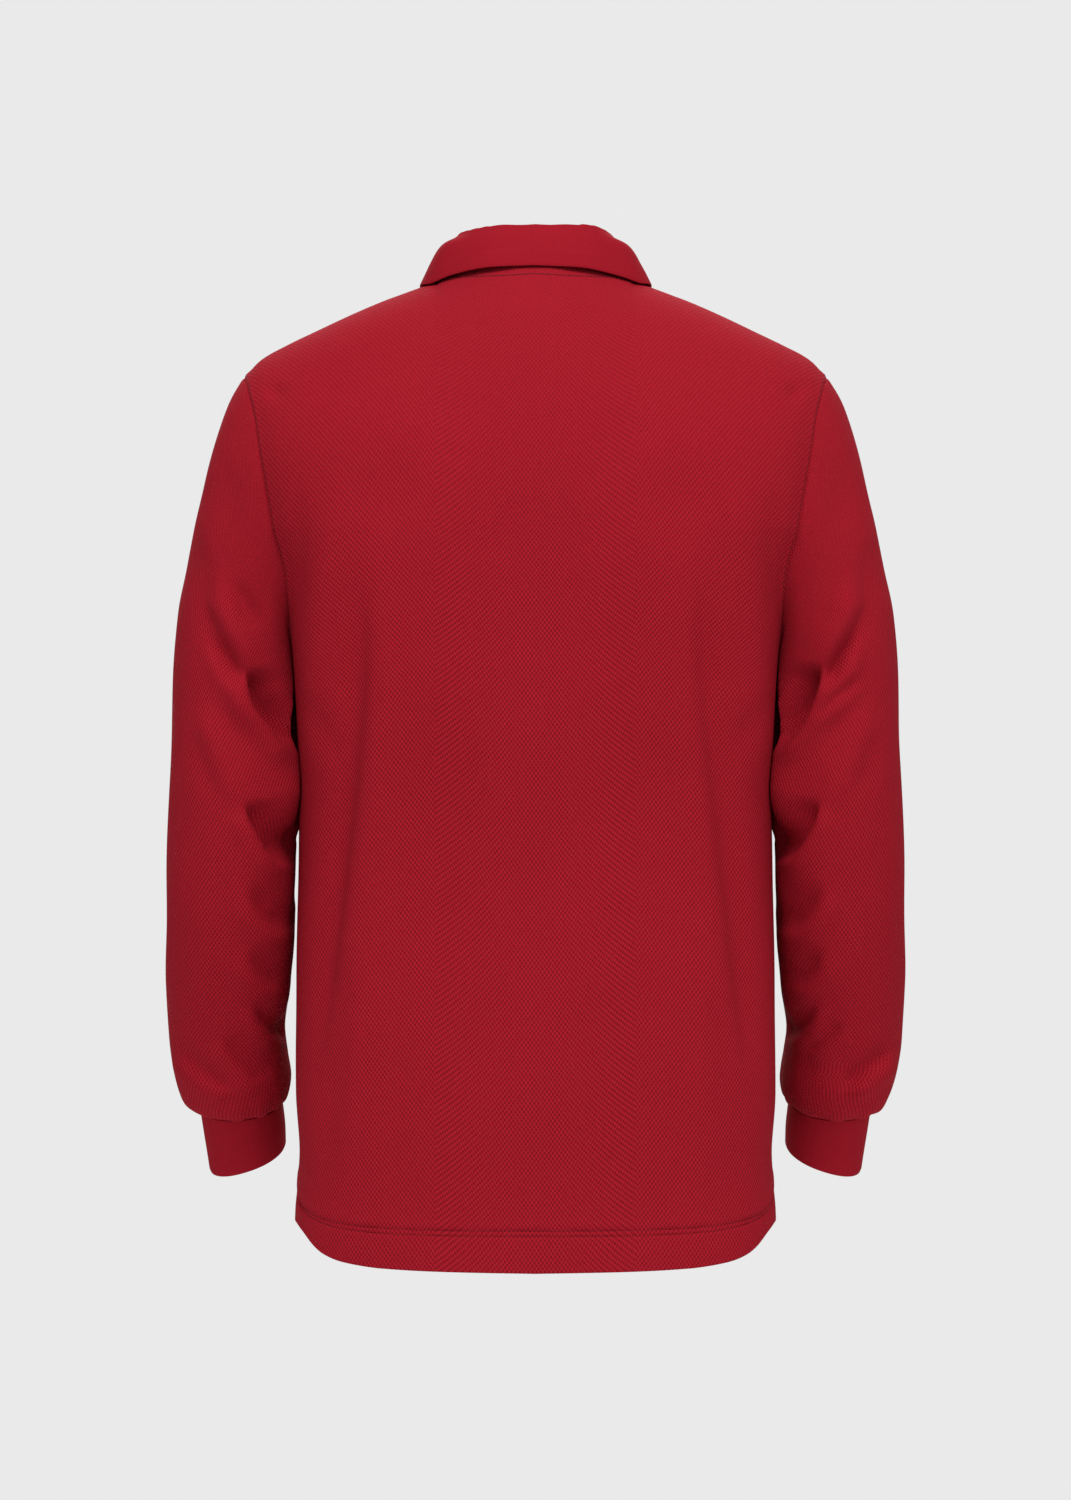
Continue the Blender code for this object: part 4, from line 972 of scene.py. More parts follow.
sleeveFrontCreases = creaseList("""
    both -.012 .016 | .226 -.3 .209 -.318 .194 -.342 .174 -.356 | steep .35 lip .0046 lipWidth .6 fade .4 tail .32
    both .0046 .01 | .24 -.25 .222 -.286 .208 -.31 | fade .35
    both .004 .01 | .262 -.3 .24 -.33 .222 -.352 | fade .35
    both -.009 .014 | .258 -.345 .226 -.38 .196 -.408 .176 -.418 | steep .4 lip .004 lipWidth .6 fade .4 tail .32
    left -.007 .013 | .262 -.395 .232 -.43 .2 -.455 .178 -.466 | steep .45 lip .0036 lipWidth .6 fade .4 tail .32
    right -.0064 .013 | .25 -.402 .228 -.436 .203 -.462 .18 -.47 | steep .45 lip .0034 lipWidth .6 fade .4 tail .32
    both -.005 .011 | .258 -.45 .23 -.476 .204 -.498 | steep .5 lip .0024 lipWidth .7
    both -.0038 .01 | .25 -.52 .226 -.548 .2 -.566 | steep .6 lip .0018 lipWidth .8
    both .003 .008 | .262 -.59 .244 -.606 .22 -.614
    both -.0032 .014 | .232 -.13 .222 -.18 .206 -.23 | fade .4""")


def ringSizes(share, rows):
    steps = np.linspace(0, 1, len(rows["outerX"]))
    return {name: float(through(share, steps, values)) for name, values in rows.items()}


def evenAngles(count, wide, deep, square):
    angle = np.linspace(0, 2 * math.pi, 1441)
    x, y = wide * signedPower(np.cos(angle), 2 / square), deep * signedPower(np.sin(angle), 2 / square)
    far = np.concatenate([[0], np.cumsum(np.hypot(np.diff(x), np.diff(y)))])
    return np.interp(np.arange(count) / count * far[-1], far, angle)


def sectionRing(s, count):
    outer = np.array([s["outerX"], s["middleY"], s["outerZ"]])
    inner = np.array([s["innerX"], s["middleY"], s["innerZ"]])
    wide, tip = (outer - inner) / 2, math.radians(s["tip"])
    deep = s["depth"] * np.array([0, math.cos(tip), -math.sin(tip)])
    angle = evenAngles(count, np.linalg.norm(wide), s["depth"], s["square"])
    across, up = signedPower(np.cos(angle), 2 / s["square"]), signedPower(np.sin(angle), 2 / s["square"])
    # the side next to the body is rounder than the outer one
    up = up * (1 - s.get("innerRound", 0) * np.clip(-across, 0, 1) ** 1.5)
    return (outer + inner) / 2 + across[:, None] * wide + up[:, None] * deep


def carriedLoop(loop, s):
    top, bottom = loop[0], loop[len(loop) // 2]
    run = top - bottom
    share = ((loop - bottom) @ run) / (run @ run)
    rest = loop - bottom - share[:, None] * run
    outer = np.array([s["outerX"], s["middleY"] + top[1], s["outerZ"]])
    inner = np.array([s["innerX"], s["middleY"] + bottom[1], s["innerZ"]])
    return inner + share[:, None] * (outer - inner) + rest


def sleeveForm(loop):
    count = len(loop)
    shares = np.linspace(0, 1, sleeve["rings"] + 1)
    shares = shares - sleeve["ringBunch"] * np.sin(2 * math.pi * shares) / math.pi
    shares[1] = sleeve["firstRing"]
    shares = np.sort(shares)
    rings = [loop]
    for share in shares[1:]:
        s = ringSizes(share, sleeveRows)
        mix = float(smoothStep(share, 0, sleeve["blend"]))
        s["innerRound"] = sleeve["innerRound"] * float(smoothStep(share, *sleeve["roundFrom"]))
        ring = sectionRing(s, count)
        if mix < 1:
            ring = ring * mix + carriedLoop(loop, s) * (1 - mix)
        rings.append(ring)
    return np.array(rings)


pressTable = table("z reach", """
    -.44 0; -.418 0; -.4 .005; -.38 .012; -.33 .012; -.3 .008; -.27 .004; -.235 0""")


def ringRatio(form):
    # -1 at the front of each ring, 1 at its back
    low, high = form[..., 1].min(axis=1, keepdims=True), form[..., 1].max(axis=1, keepdims=True)
    return (2 * form[..., 1] - low - high) / (high - low)


def restOnBody(form, ringFar):
    # below the armhole the sleeve bulges until it lies against the side of the body
    ratio = np.abs(ringRatio(form))
    reach = np.interp(form[..., 2], pressTable["z"], pressTable["reach"])
    reach = reach * (1 - smoothStep(ratio, *sleeve["pressRatio"])) * (1 - smoothStep(form[..., 0], *sleeve["pressX"]))
    reach = reach * smoothStep(ringFar, *sleeve["pressFar"])[:, None]
    form = form - np.array([1.0, 0, 0]) * reach[..., None]
    return clearOfBody(form, ringFar, form[..., 0] < sleeve["nearBody"][0])


def clearOfBody(form, ringFar, near):
    form = form.copy()
    for ring, column in zip(*np.nonzero(near & (ringFar > sleeve["clearFrom"])[:, None])):
        spot, way, _, _ = skin.find_nearest(Vector(form[ring, column]))
        high = (Vector(form[ring, column]) - spot).dot(way)
        if high < sleeve["clearance"]:
            form[ring, column] += np.array(way) * (sleeve["clearance"] - high)
    return form


def chosen(creases, side):
    return [{**crease, "sides": (1,)} for crease in creases if side in crease["sides"]]


def buildSleeves(panels):
    # the armhole stays where the plain form has it, so both walls meet it alike
    loop = armholeLoop(panels, "grid")
    along = unit(np.roll(loop, -1, axis=0) - np.roll(loop, 1, axis=0))
    outwards = np.array([1.0, 0, 0])
    loop = loop + unit(outwards - along * along[:, :1]) * body["armholeGap"]
    form = sleeveForm(loop)
    uv = gridUv(np.concatenate([form, form[:, :1]], axis=1))[:, :-1]
    ringFar = np.concatenate([[0], np.cumsum(np.linalg.norm(np.diff(form, axis=0), axis=2).mean(axis=1))])
    form = restOnBody(form, ringFar)
    ratio = ringRatio(form)
    ways = gridNormals(form, wrap=True, flip=True)
    result = {}
    for hand, side in (("left", 1), ("right", -1)):
        x, z = form[..., 0], form[..., 2]
        # the outline keeps the plain form: creases fade where the cloth turns edge on
        outerHalf = smoothStep(x, *sleeve["outerHalf"])
        toBack, toFront = (smoothStep(way * ways[..., 1], *sleeve["outerFacing"]) * outerHalf
                           + smoothStep(way * ratio, *sleeve["innerRatio"]) * (1 - outerHalf) for way in (1, -1))
        lift = creaseLift(x, z, chosen(sleeveBackCreases, side), toBack)
        lift += creaseLift(x, z, chosen(sleeveFrontCreases, side), toFront)
        resting = (1 - smoothStep(x, *sleeve["pocketX"])) * smoothStep(z, *sleeve["pocketZ"])
        lift *= 1 - sleeve["pocketClose"] * resting
        if side == -1:
            lift *= 0.92 + 0.16 * waver(z, 21, 0.06)
        turn = np.arange(form.shape[1]) / form.shape[1] * 2 * math.pi
        nearCuff = mound(ringFar[-1] - ringFar, sleeve["gatherWide"])[:, None]
        pleats = np.sin(turn * sleeve["pleats"] + 1.6 * np.sin(turn * 2 + side) + side)
        pleats = pleats * (0.55 + 0.45 * np.sin(turn * 3 + 2 * side))
        lift += sleeve["gatherDepth"] * nearCuff * pleats[None, :]
        lift += 0.0007 * waver(turn * 0.08 + ringFar[:, None] * 0.5, 31 + side, 0.03)
        hold = smoothStep(ringFar, 0, 0.022) * smoothStep(ringFar[-1] - ringFar, 0, 0.006)
        lift *= hold[:, None]
        seam = dent("sleeveTop", ringFar) * (ringFar > 0)
        seam = seam + dent("sleeveEnd", ringFar[-1] - ringFar) * (ringFar < ringFar[-1])
        lift += seam[:, None]
        grid = clearOfBody(form + ways * lift[..., None], ringFar, x < sleeve["nearBody"][1])
        result[hand] = {"grid": grid, "normals": gridNormals(grid, wrap=True, flip=True), "uv": uv, "side": side}
    return result


def buildCuffGrid(count):
    shares = np.linspace(0, 1, sleeve["cuffRings"])
    return np.array([sectionRing(ringSizes(share, cuffRows), count) for share in shares])


def wrapUvWall(name, outer, inner, uv, finish, mirrored):
    # a tube with its own column of points at the underarm seam, so the pattern runs on round it
    outer = np.concatenate([outer, outer[:, :1]], axis=1)
    inner = np.concatenate([inner, inner[:, :1]], axis=1)
    uvFull = np.stack([runs(outer, 1), np.concatenate([uv[..., 1], uv[:, :1, 1]], axis=1)], axis=2)
    cells = gridCells(outer.shape[0], outer.shape[1], flip=True)
    piece = wallMesh(name, outer, inner, cells, uvFull, finish, mirrored, tube=True)
    shape = bmesh.new()
    shape.from_mesh(piece.data)
    bmesh.ops.remove_doubles(shape, verts=shape.verts, dist=0.00001)
    shape.to_mesh(piece.data)
    shape.free()
    return piece


sleeves = buildSleeves(panels)
sleeveWays = sleeves["left"]["normals"][0]
backSteps = (len(lowerArmhole["back"]["z"]) - 1 + topRows["back"]) * body["refine"]
clothBack = buildPanel("back", panels, sleeveWays[: backSteps + 1][::-1])
clothFront = buildPanel("front", panels, np.concatenate([sleeveWays[backSteps:], sleeveWays[:1]]))
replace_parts(clothBack, "back")
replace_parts(clothFront, "front")
cuffGrid = buildCuffGrid(len(sleeveWays))
cuffWays = gridNormals(cuffGrid, wrap=True, flip=True)
cuffUv = gridUv(np.concatenate([cuffGrid, cuffGrid[:, :1]], axis=1))[:, :-1]
sleevePieces, cuffPieces = {}, {}
for hand, s in sleeves.items():
    bodyWays = armholeLoop(panels, "normals")
    lean = s["normals"].copy()
    lean[0] = sharedLean(s["normals"][0], bodyWays)
    lean[-1] = sharedLean(s["normals"][-1], cuffWays[0])
    inner = inward(s["grid"], s["normals"], lean, sleeve["cloth"])
    sleevePieces[hand] = wrapUvWall("cloth_sleeve_" + hand, s["grid"], inner, s["uv"],
                                    piqueKnit, s["side"] < 0)
    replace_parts(sleevePieces[hand], "sleeve_" + hand)
    cuffLean = cuffWays.copy()
    cuffLean[0] = sharedLean(cuffWays[0], s["normals"][-1])
    rounded = cuffGrid.copy()
    cuffInner = inward(cuffGrid, cuffWays, cuffLean, sleeve["cuffCloth"])
    rounded[-1] -= cuffWays[-1] * sleeve["cuffEdgeRound"]
    cuffInner[-1] += cuffWays[-1] * sleeve["cuffEdgeRound"]
    cuffPieces[hand] = wrapUvWall("knit_cuff_" + hand, rounded, cuffInner, cuffUv, cuffKnit, s["side"] < 0)
    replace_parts(cuffPieces[hand], "cuff_" + hand)
print("sleeves and cuffs are built")


# placket and buttons

button = {
    "radius": 0.00575,
    "thick": 0.0026,
    "count": 3,
    "firstDown": 0.022,
    "spacing": 0.052,
    "turnEach": 0.35,
    "holeRadius": 0.00085,
    "holeOut": 0.00145,
}
# half section from the middle of the face to the middle of the back, in shares of radius and thickness
buttonSection = table("out up", """
    0 .7; .44 .7; .52 .74; .6 .88; .7 .97; .82 1; .93 .92; .985 .74; 1 .55; .96 .3; .86 .1; .7 0; 0 0""")


def placketStrip(panels, outBy, thickness, name):
    grid, normals, uv = (panels["front"][n] for n in ("grid", "normals", "uv"))
    area = placketArea(grid)
    strip, way = grid[area].copy(), normals[area]
    strip[..., 0] *= 1 - 2 * placket["gap"] / placket["width"]
    strip[0] += unit(strip[1] - strip[0]) * placket["gap"]
    strip[-1] += unit(strip[-2] - strip[-1]) * placket["gap"]
    # soft edge: the folded cloth rounds over at both long sides and the foot
    edge = np.minimum(np.arange(strip.shape[1]), np.arange(strip.shape[1])[::-1])[None, :]
    foot = np.arange(len(strip))[:, None]
    soften = 0.00025 * ((edge == 0) | (foot == 0)) * (outBy > 0)
    wave = 0.00015 * waver(strip[..., 2], 51, 0.012) * (outBy > 0)
    outer = strip + way * (outBy - soften + wave)[..., None]
    inner = strip + way * (outBy - thickness)
    piece = wallMesh(name, outer, inner, gridCells(*strip.shape[:2]), uv[area], piqueKnit)
    return piece, outer, way


def latheButton():
    shape = bmesh.new()
    line = [shape.verts.new((button["radius"] * out, 0, button["thick"] * up))
            for out, up in zip(*buttonSection.values())]
    edges = [shape.edges.new(pair) for pair in zip(line, line[1:])]
    bmesh.ops.spin(shape, geom=line + edges, axis=(0, 0, 1), cent=(0, 0, 0), steps=64, angle=2 * math.pi)
    bmesh.ops.remove_doubles(shape, verts=shape.verts, dist=0.000005)
    bmesh.ops.recalc_face_normals(shape, faces=shape.faces)
    return shape


def drillHoles(piece):
    shape = bmesh.new()
    for k in range(4):
        turn = math.pi / 4 + k * math.pi / 2
        out = button["holeOut"]
        place = Matrix.Translation((out * math.cos(turn), out * math.sin(turn), button["thick"] / 2))
        bmesh.ops.create_cone(shape, cap_ends=True, segments=20, radius1=button["holeRadius"],
                              radius2=button["holeRadius"], depth=button["thick"] * 3, matrix=place)
    drill = addObject("drill", meshFrom("drill", shape))
    cut = piece.modifiers.new("holes", "BOOLEAN")
    cut.operation, cut.object, cut.solver = "DIFFERENCE", drill, "EXACT"
    bake(piece)
    bpy.data.objects.remove(drill, do_unlink=True)


def buildButtons(panels):
    grid, normals = panels["front"]["grid"], panels["front"]["normals"]
    middle = grid.shape[1] // 2
    line, way = grid[::-1, middle], normals[::-1, middle]
    far = lengths(line)
    places = []
    for number in range(button["count"]):
        at = button["firstDown"] + number * button["spacing"]
        facing = unit(valuesAt(at, far, way))
        point = valuesAt(at, far, line) + facing * (placket["proud"] + placket["gap"])
        name = "button_face_%d" % (number + 1)
        piece = addObject(name, meshFrom(name, latheButton()))
        drillHoles(piece)
        piece.data.materials.clear()
        piece.data.materials.append(buttonPlastic)
        spin = Matrix.Rotation(button["turnEach"] * number, 4, "Z")
        upright = Vector(facing).to_track_quat("Z", "Y").to_matrix().to_4x4()
        place = Matrix.Translation(Vector(point)) @ upright @ spin
        piece.data.transform(place)
        piece.data.shade_smooth()
        piece.data.set_sharp_from_angle(angle=math.radians(40))
        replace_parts(give(piece), "button_%d" % (number + 1))
        places.append(place)
    return places


upperPlacket, placketFace, placketWays = placketStrip(panels, placket["proud"], placket["cloth"], "placket_upper_strip")
underPlacket = placketStrip(panels, -placket["underDepth"], placket["underCloth"], "placket_under_strip")[0]
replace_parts(upperPlacket, "placket_upper")
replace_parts(underPlacket, "placket_under")
buttonPlaces = buildButtons(panels)
print("placket and buttons are built")


# collar

collar = {
    "cloth": 0.0018,
    "clearance": 0.0012,
    "restWithin": 0.010,
    "frontGap": 0.003,
    "rows": 72,
    "leafFrom": 0.55,             # the leaf's rows, which have to stay off the body
    "edgeThin": (0.92, 0.55),     # the last two rows
}
foldLine = table("share x y z", """
    0 .0015 -.066 -.044; .12 .02 -.0625 -.039; .25 .037 -.051 -.023; .4 .052 -.031 .008; .52 .0575 -.008 .034
    .64 .056 .015 .0415; .78 .043 .039 .0425; .9 .021 .051 .043; 1 0 .054 .043""")
leafEdge = table("share x y z", """
    0 .047 -.112 -.108; .12 .057 -.104 -.09; .25 .069 -.087 -.068; .4 .082 -.05 -.032; .46 .086 -.029 -.011
    .52 .088 -.008 .003; .58 .0862 .01 .0026; .64 .0812 .0245 .0014; .78 .062 .044 .0062; .9 .032 .062 .01
    1 0 .0672 .0108""")


def neckEdge(panels, what):
    columns = panels["front"]["grid"].shape[1]
    middle = columns // 2
    front = panels["front"][what][-1, middle : middle + neckColumns + 1]
    back = panels["back"][what][-1, middle : middle + neckColumns][::-1]
    return np.concatenate([front, back])


def collarStations(panels):
    edge, ways = neckEdge(panels, "grid"), neckEdge(panels, "normals")
    start = collar["frontGap"] / 2 / edge[1, 0]
    edge[0] = edge[0] + (edge[1] - edge[0]) * start
    count = 3 * (len(edge) - 1) + 1
    at = np.linspace(0, len(edge) - 1, count)
    steps = np.arange(len(edge))
    points = np.stack([through(at, steps, edge[:, k]) for k in range(3)], axis=1)
    run = lengths(points)
    return points, unit(valuesAt(at, steps, ways)), run / run[-1]


def collarRows(points, ways, share, side):
    fold, leaf = (np.stack([through(share, line["share"], line[n]) for n in "xyz"], axis=1)
                  for line in (foldLine, leafEdge))
    if side < 0:
        # behind, the right half stands a little higher than the left one, and it turns down sooner
        sooner = smoothStep(share, 0.5, 0.6) * (1 - smoothStep(share, 0.66, 0.74))
        fold[:, 2] += 0.0016 * mound(share - 0.80, 0.06) - 0.0014 * sooner
        leaf[:, 2] -= 0.0006 * mound(share - 0.80, 0.1)
    else:
        fold[:, 2] -= 0.0010 * mound(share - 0.72, 0.09)
    run = unit(np.gradient(points, axis=0))
    inside = unit(np.cross(ways, run))
    foot = points - ways * (body["cloth"] / 2) + inside * (body["seamGap"] * 1.3)
    rise, fall = fold - foot, leaf - fold
    away = unit(np.cross(run, unit(fall)))
    # over the shoulders the leaf bulges, behind it hangs almost flat
    bulge = (smoothStep(share, 0.40, 0.52) * (1 - smoothStep(share, 0.66, 0.80)))[:, None] * away
    # up the stand from the neck seam, over the fold, and down to the edge of the leaf
    rows = [foot, foot + inside * 0.0030 + rise * 0.06, foot + rise * 0.42 + inside * 0.0028,
            foot + rise * 0.80 + inside * 0.0012, fold - unit(rise) * 0.0020,
            fold + unit(fall - rise) * 0.0016 + unit(rise) * 0.0006, fold + unit(fall) * 0.0042 - away * 0.0006,
            fold + fall * 0.32 - away * 0.0020 - bulge * 0.0040,
            fold + fall * 0.66 - away * 0.0016 - bulge * 0.0026, leaf]
    return np.array(rows)


def buildCollar(panels):
    points, ways, share = collarStations(panels)
    clear = collar["clearance"] + collar["cloth"] / 2
    halves = {}
    for side in (1, -1):
        half = collarRows(points, ways, share, side)
        fine = np.array([curvePoints(half[:, i], collar["rows"]) for i in range(half.shape[1])]).transpose(1, 0, 2)
        for row in range(int(collar["rows"] * collar["leafFrom"]), len(fine)):
            for i in range(fine.shape[1]):
                near, way, _, _ = skin.find_nearest(Vector(fine[row, i]))
                reach = Vector(fine[row, i]) - near
                high = reach.dot(way)
                if high < clear and reach.length < collar["restWithin"]:
                    fine[row, i] += np.array(way) * (clear - high)
        halves[side] = fine
    middle = np.concatenate([halves[-1][:, :-1] * (-1, 1, 1), halves[1][:, ::-1]], axis=1)
    # the knitted edge ripples a little, and the middle of the leaf lies slightly hollow
    far = np.linspace(0, 1, middle.shape[1])
    edge = smoothStep(np.arange(len(middle)), 0.75 * len(middle), len(middle) - 1)[:, None]
    ripple = 0.0004 * edge * waver(far, 61, 0.05) + 0.00035 * waver(far, 62, 0.11) * smoothStep(edge, 0, 0.3)
    middle = middle + gridNormals(middle) * ripple[..., None]
    waysOut = gridNormals(middle)
    thick = np.full(len(middle), collar["cloth"] / 2)
    thick[-2:] *= collar["edgeThin"]
    outer = middle + waysOut * thick[:, None, None]
    inner = middle - waysOut * thick[:, None, None]
    piece = wallMesh("knit_collar", outer, inner, gridCells(*middle.shape[:2]), gridUv(middle), collarKnit)
    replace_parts(piece, "collar")
    return piece


knitCollar = buildCollar(panels)
print("collar is built")


# stitches

def stitchTree():
    # one small stitch at every step along the edges of a mesh, laid on the cloth by the "facing" attribute
    tree = bpy.data.node_groups.new("stitch_row", "GeometryNodeTree")
    face, ids = tree.interface, {}
    face.new_socket(name="Path", in_out="INPUT", socket_type="NodeSocketGeometry")
    for name, kind in (("Pitch", "Float"), ("Length", "Float"), ("Width", "Float"), ("Turn", "Float"),
                       ("Seed", "Int"), ("Thread", "Material")):
        ids[name] = face.new_socket(name=name, in_out="INPUT", socket_type="NodeSocket" + kind).identifier
    face.new_socket(name="Stitches", in_out="OUTPUT", socket_type="NodeSocketGeometry")

    def add(kind, *inputs, **settings):
        return addNode(tree, kind, *inputs, **settings)

    given = add("NodeGroupInput")
    curve = add("GeometryNodeMeshToCurve", ("Mesh", given["Path"]))
    steps = add("GeometryNodeResampleCurve", ("Curve", curve["Curve"]), ("Length", given["Pitch"]), mode="LENGTH")
    ball = add("GeometryNodeMeshUVSphere", ("Segments", 6), ("Rings", 4), ("Radius", 0.5))
    flat = add("ShaderNodeMath", (0, given["Width"]), (1, 0.8), operation="MULTIPLY")
    size = add("ShaderNodeCombineXYZ", ("X", given["Length"]), ("Y", given["Width"]), ("Z", flat[0]))
    shaped = add("GeometryNodeTransform", ("Geometry", ball["Mesh"]), ("Scale", size[0]))
    tangent = add("GeometryNodeInputTangent")
    along = add("FunctionNodeAlignRotationToVector", ("Vector", tangent[0]), axis="X")
    facing = add("GeometryNodeInputNamedAttribute", ("Name", "facing"), data_type="FLOAT_VECTOR")
    laid = add("FunctionNodeAlignRotationToVector", ("Rotation", along[0]), ("Vector", facing["Attribute"]),
               axis="Z", pivot_axis="X")
    wobble = add("FunctionNodeRandomValue", (2, -0.10), (3, 0.10), ("Seed", given["Seed"]), data_type="FLOAT")
    turned = add("ShaderNodeMath", (0, given["Turn"]), (1, wobble[1]), operation="ADD")
    spin = add("FunctionNodeAxisAngleToRotation", ("Axis", (0, 0, 1)), ("Angle", turned[0]))
    final = add("FunctionNodeRotateRotation", ("Rotation", laid[0]), ("Rotate By", spin[0]), rotation_space="LOCAL")
    put = add("GeometryNodeInstanceOnPoints", ("Points", steps["Curve"]), ("Instance", shaped[0]),
              ("Rotation", final[0]))
    real = add("GeometryNodeRealizeInstances", (0, put[0]))
    paint = add("GeometryNodeSetMaterial", ("Geometry", real[0]), ("Material", given["Thread"]))
    add("NodeGroupOutput", (0, paint[0]))
    return tree, ids


stitchRow, stitchIds = stitchTree()


def sew(name, paths, turn=0.0, **sizes):
    # paths: pairs of points and outward directions, one pair for each line of stitches
    points, edges, ways = [], [], []
    for line, way in paths:
        start = len(points)
        points += [tuple(p) for p in line]
        ways += [tuple(w) for w in way]
        edges += [(start + i, start + i + 1) for i in range(len(line) - 1)]
    mesh = bpy.data.meshes.new(name)
    mesh.from_pydata(points, edges, [])
    facing = mesh.attributes.new("facing", "FLOAT_VECTOR", "POINT")
    facing.data.foreach_set("vector", np.array(ways, np.float32).ravel())
    piece = addObject(name, mesh)
    rows = piece.modifiers.new("stitches", "NODES")
    rows.node_group = stitchRow
    for key in ("pitch", "length", "width", "seed"):
        rows[stitchIds[key.title()]] = sizes.get(key, stitching[key])
    rows[stitchIds["Turn"]], rows[stitchIds["Thread"]] = turn, threadWithPaintedShade
    done = bake(piece)
    done.name = name
    done.shade_smooth()
    return give(piece)


def stepIn(lines, far):
    # points a set distance along each of the lines, which start at the edge of a panel
    places = [[valuesAt(down, lengths(points), values) for values in (points, ways)]
              for (points, ways), down in zip(lines, np.broadcast_to(far, len(lines)))]
    return np.array([p for p, w in places]), unit(np.array([w for p, w in places]))


def proud(path, by=0.00008):
    line, ways = path
    return line + ways * by, ways


def sewBody(panels):
    made = {"back": [], "front": []}
    count = len(lowerHeights)
    for side in ("back", "front"):
        grid, normals = panels[side]["grid"], panels[side]["normals"]
        rows = [int(np.argmin(np.abs(lowerHeights - at))) for at in stitching["hemRows"]]
        hems = [proud((grid[r], normals[r])) for r in rows]
        made[side].append(sew("hem_stitches_" + side, hems))
        arms = [proud(stepIn([(grid[r, ::way], normals[r, ::way]) for r in range(count, len(grid) - 1)],
                             stitching["armholeIn"])) for way in (-1, 1)]
        made[side].append(sew("armhole_stitches_" + side, arms))
    back = panels["back"]
    middle = back["grid"].shape[1] // 2
    low, high = stitching["neckTapeDown"]
    across = np.arange(-neckColumns, neckColumns + 1)
    # just below the leaf of the collar, where the tape inside is sewn down
    lines = [(back["grid"][::-1, middle + c], back["normals"][::-1, middle + c]) for c in across]
    tape = stepIn(lines, low + (high - low) * (across / neckColumns) ** 2)
    # wide, nearly touching stitches in the darkened thread: the tape's own stitching together with painted shade along
    # the seam line below the collar
    made["back"].append(sew("neck_tape_stitches_painted_seam_shade", [proud(tape, 0.0002)], pitch=0.0026, length=0.0026, width=0.0011))
    front = panels["front"]
    for hand, columns in (("right", range(2, middle - neckColumns - 1)),
                          ("left", range(middle + neckColumns + 2, 2 * middle - 1))):
        lines = [(front["grid"][::-1, c], front["normals"][::-1, c]) for c in columns]
        made["front"].append(sew("shoulder_stitches_" + hand, [proud(stepIn(lines, stitching["shoulderIn"]))]))
    return made


def sewPlacket(face, ways):
    # down both edges, and a box across the foot
    inset, half = stitching["placketIn"], placket["width"] / 2
    columns = face.shape[1]
    at = np.linspace(-half, half, columns)
    run = lengths(face[:, columns // 2])

    def seam(places):
        pairs = np.array([[valuesAt(x, at, np.array([valuesAt(far, run, values[:, c]) for c in range(columns)]))
                           for values in (face, ways)] for x, far in places])
        return proud((pairs[:, 0], unit(pairs[:, 1])))

    tall, across = np.linspace(inset, run[-1] - 0.004, 60), np.linspace(inset - half, half - inset, 12)
    paths = [seam([(x, far) for far in tall]) for x in (inset - half, half - inset)]
    paths += [seam([(x, far) for x in across]) for far in (inset, stitching["boxHeight"])]
    return sew("placket_stitches", paths)


# half its height and width, and the stitches round it
buttonhole = {"tall": 0.0078, "slim": 0.00135, "pitch": 0.00056, "length": 0.0015, "width": 0.00042}


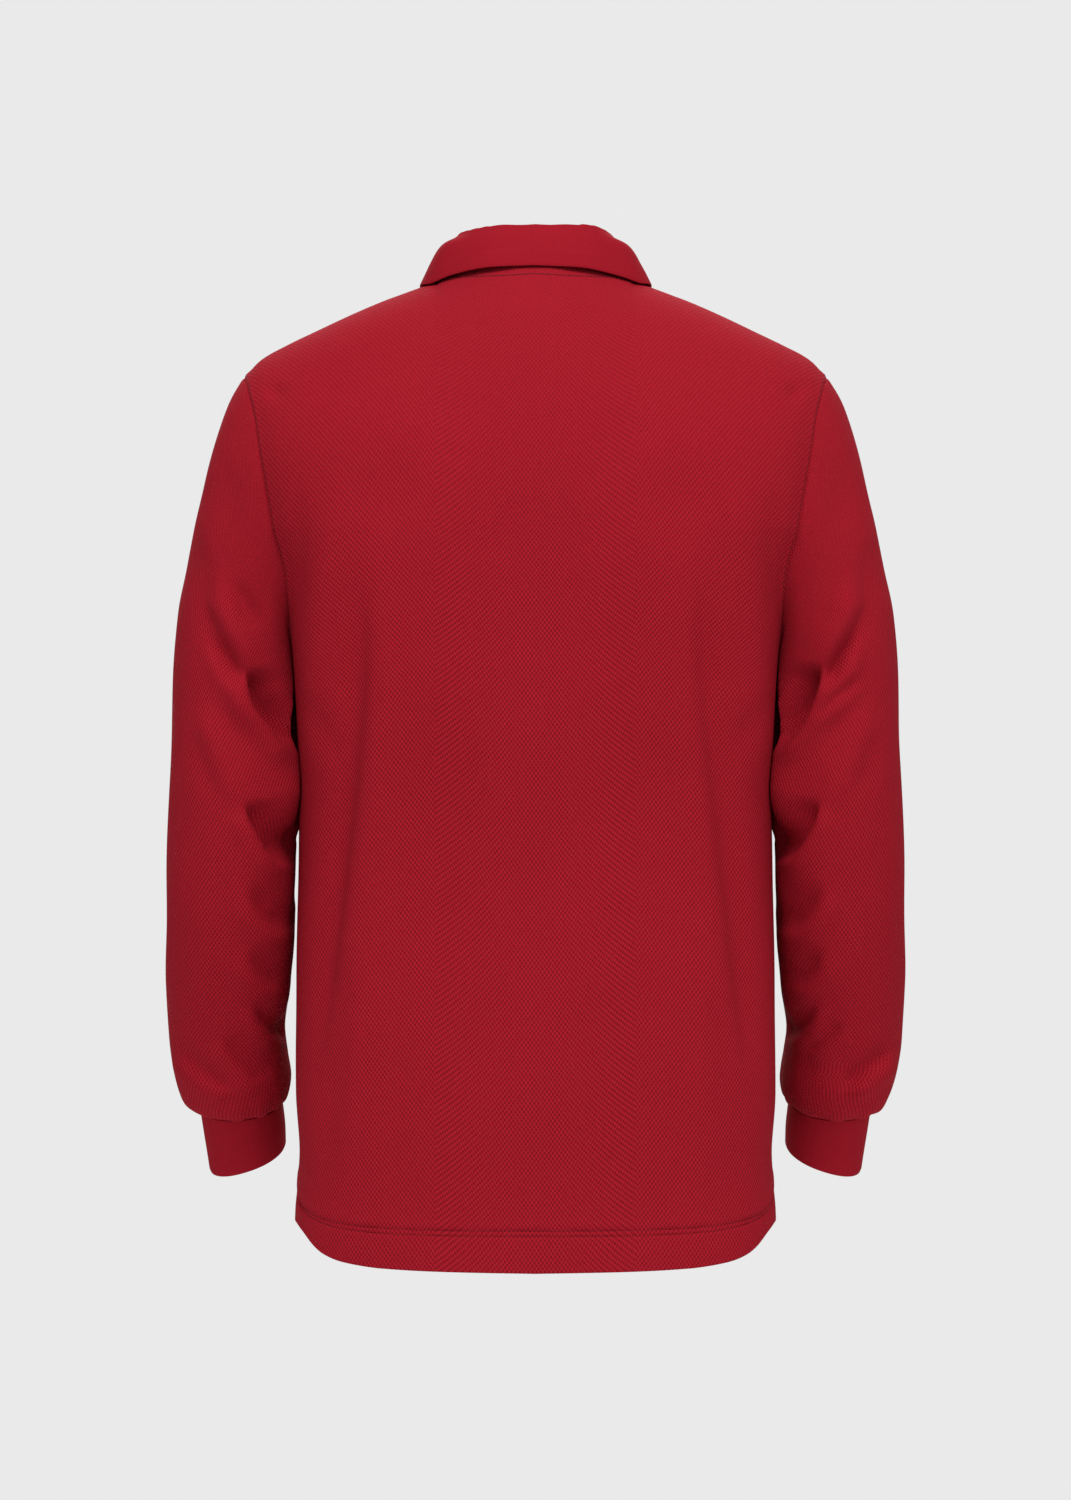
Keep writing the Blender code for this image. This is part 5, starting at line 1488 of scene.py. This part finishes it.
def sewButtonholes(places):
    # the buttonhole stands upright: its worked edge shows above and below the button
    made = []
    turn = np.linspace(0, 2 * math.pi, 61)
    for number, place in enumerate(places):
        upright = place @ Matrix.Rotation(-button["turnEach"] * number, 4, "Z")
        turnTo = np.array(upright)
        drop = -placket["gap"] - 0.00002
        flatX, flatY = buttonhole["slim"] * np.sin(turn), buttonhole["tall"] * signedPower(np.cos(turn), 0.55)
        local = upright.to_3x3().inverted() @ Vector((0, 0, 1))
        spin = math.atan2(local.y, local.x) - math.pi / 2
        x, y = flatX * math.cos(spin) - flatY * math.sin(spin), flatX * math.sin(spin) + flatY * math.cos(spin)
        line = np.stack([x, y, np.full(len(x), drop), np.ones(len(x))], axis=1) @ turnTo.T
        way = np.broadcast_to(turnTo[:3, 2], (len(x), 3))
        made.append(sew("buttonhole_%d" % (number + 1), [(line[:, :3], way)], turn=math.pi / 2,
                        pitch=buttonhole["pitch"], length=buttonhole["length"], width=buttonhole["width"]))
    return made


def threadTube(shape, path, radius, sides=8):
    rings = []
    path = [Vector(p) for p in path]
    for i, p in enumerate(path):
        run = (path[min(i + 1, len(path) - 1)] - path[max(i - 1, 0)]).normalized()
        side = run.orthogonal().normalized() if i == 0 else (side - run * side.dot(run)).normalized()
        other = run.cross(side)
        rings.append([shape.verts.new(p + (side * math.cos(a) + other * math.sin(a)) * radius)
                      for a in (2 * math.pi * k / sides for k in range(sides))])
    for low, high in zip(rings, rings[1:]):
        for k in range(sides):
            shape.faces.new((low[k], low[(k + 1) % sides], high[(k + 1) % sides], high[k]))
    shape.faces.new(rings[0][::-1])
    shape.faces.new(rings[-1])


def tieButtons(places):
    # two bars of thread from hole to hole
    made = []
    for number, place in enumerate(places):
        shape = bmesh.new()
        o, top = button["holeOut"] * math.cos(math.pi / 4), button["thick"] * 0.70
        for y in (-o, o):
            for shift in (-0.00016, 0.00016):
                bar = [(-o, 0.0001), (-o, top - 0.0001), (-o * 0.75, top + 0.00032), (0, top + 0.00042),
                       (o * 0.75, top + 0.00032), (o, top - 0.0001), (o, 0.0001)]
                threadTube(shape, [(x, y + shift, z) for x, z in bar], 0.00021)
        bmesh.ops.recalc_face_normals(shape, faces=shape.faces)
        mesh = meshFrom("button_thread_%d" % (number + 1), shape)
        mesh.transform(place)
        mesh.materials.append(threadWithPaintedShade)
        mesh.shade_smooth()
        made.append(give(addObject(mesh.name, mesh)))
    return made


bodyStitches = sewBody(panels)
placketStitches = sewPlacket(placketFace, placketWays)
buttonholes = sewButtonholes(buttonPlaces)
buttonThreads = tieButtons(buttonPlaces)
print("stitches are sewn")
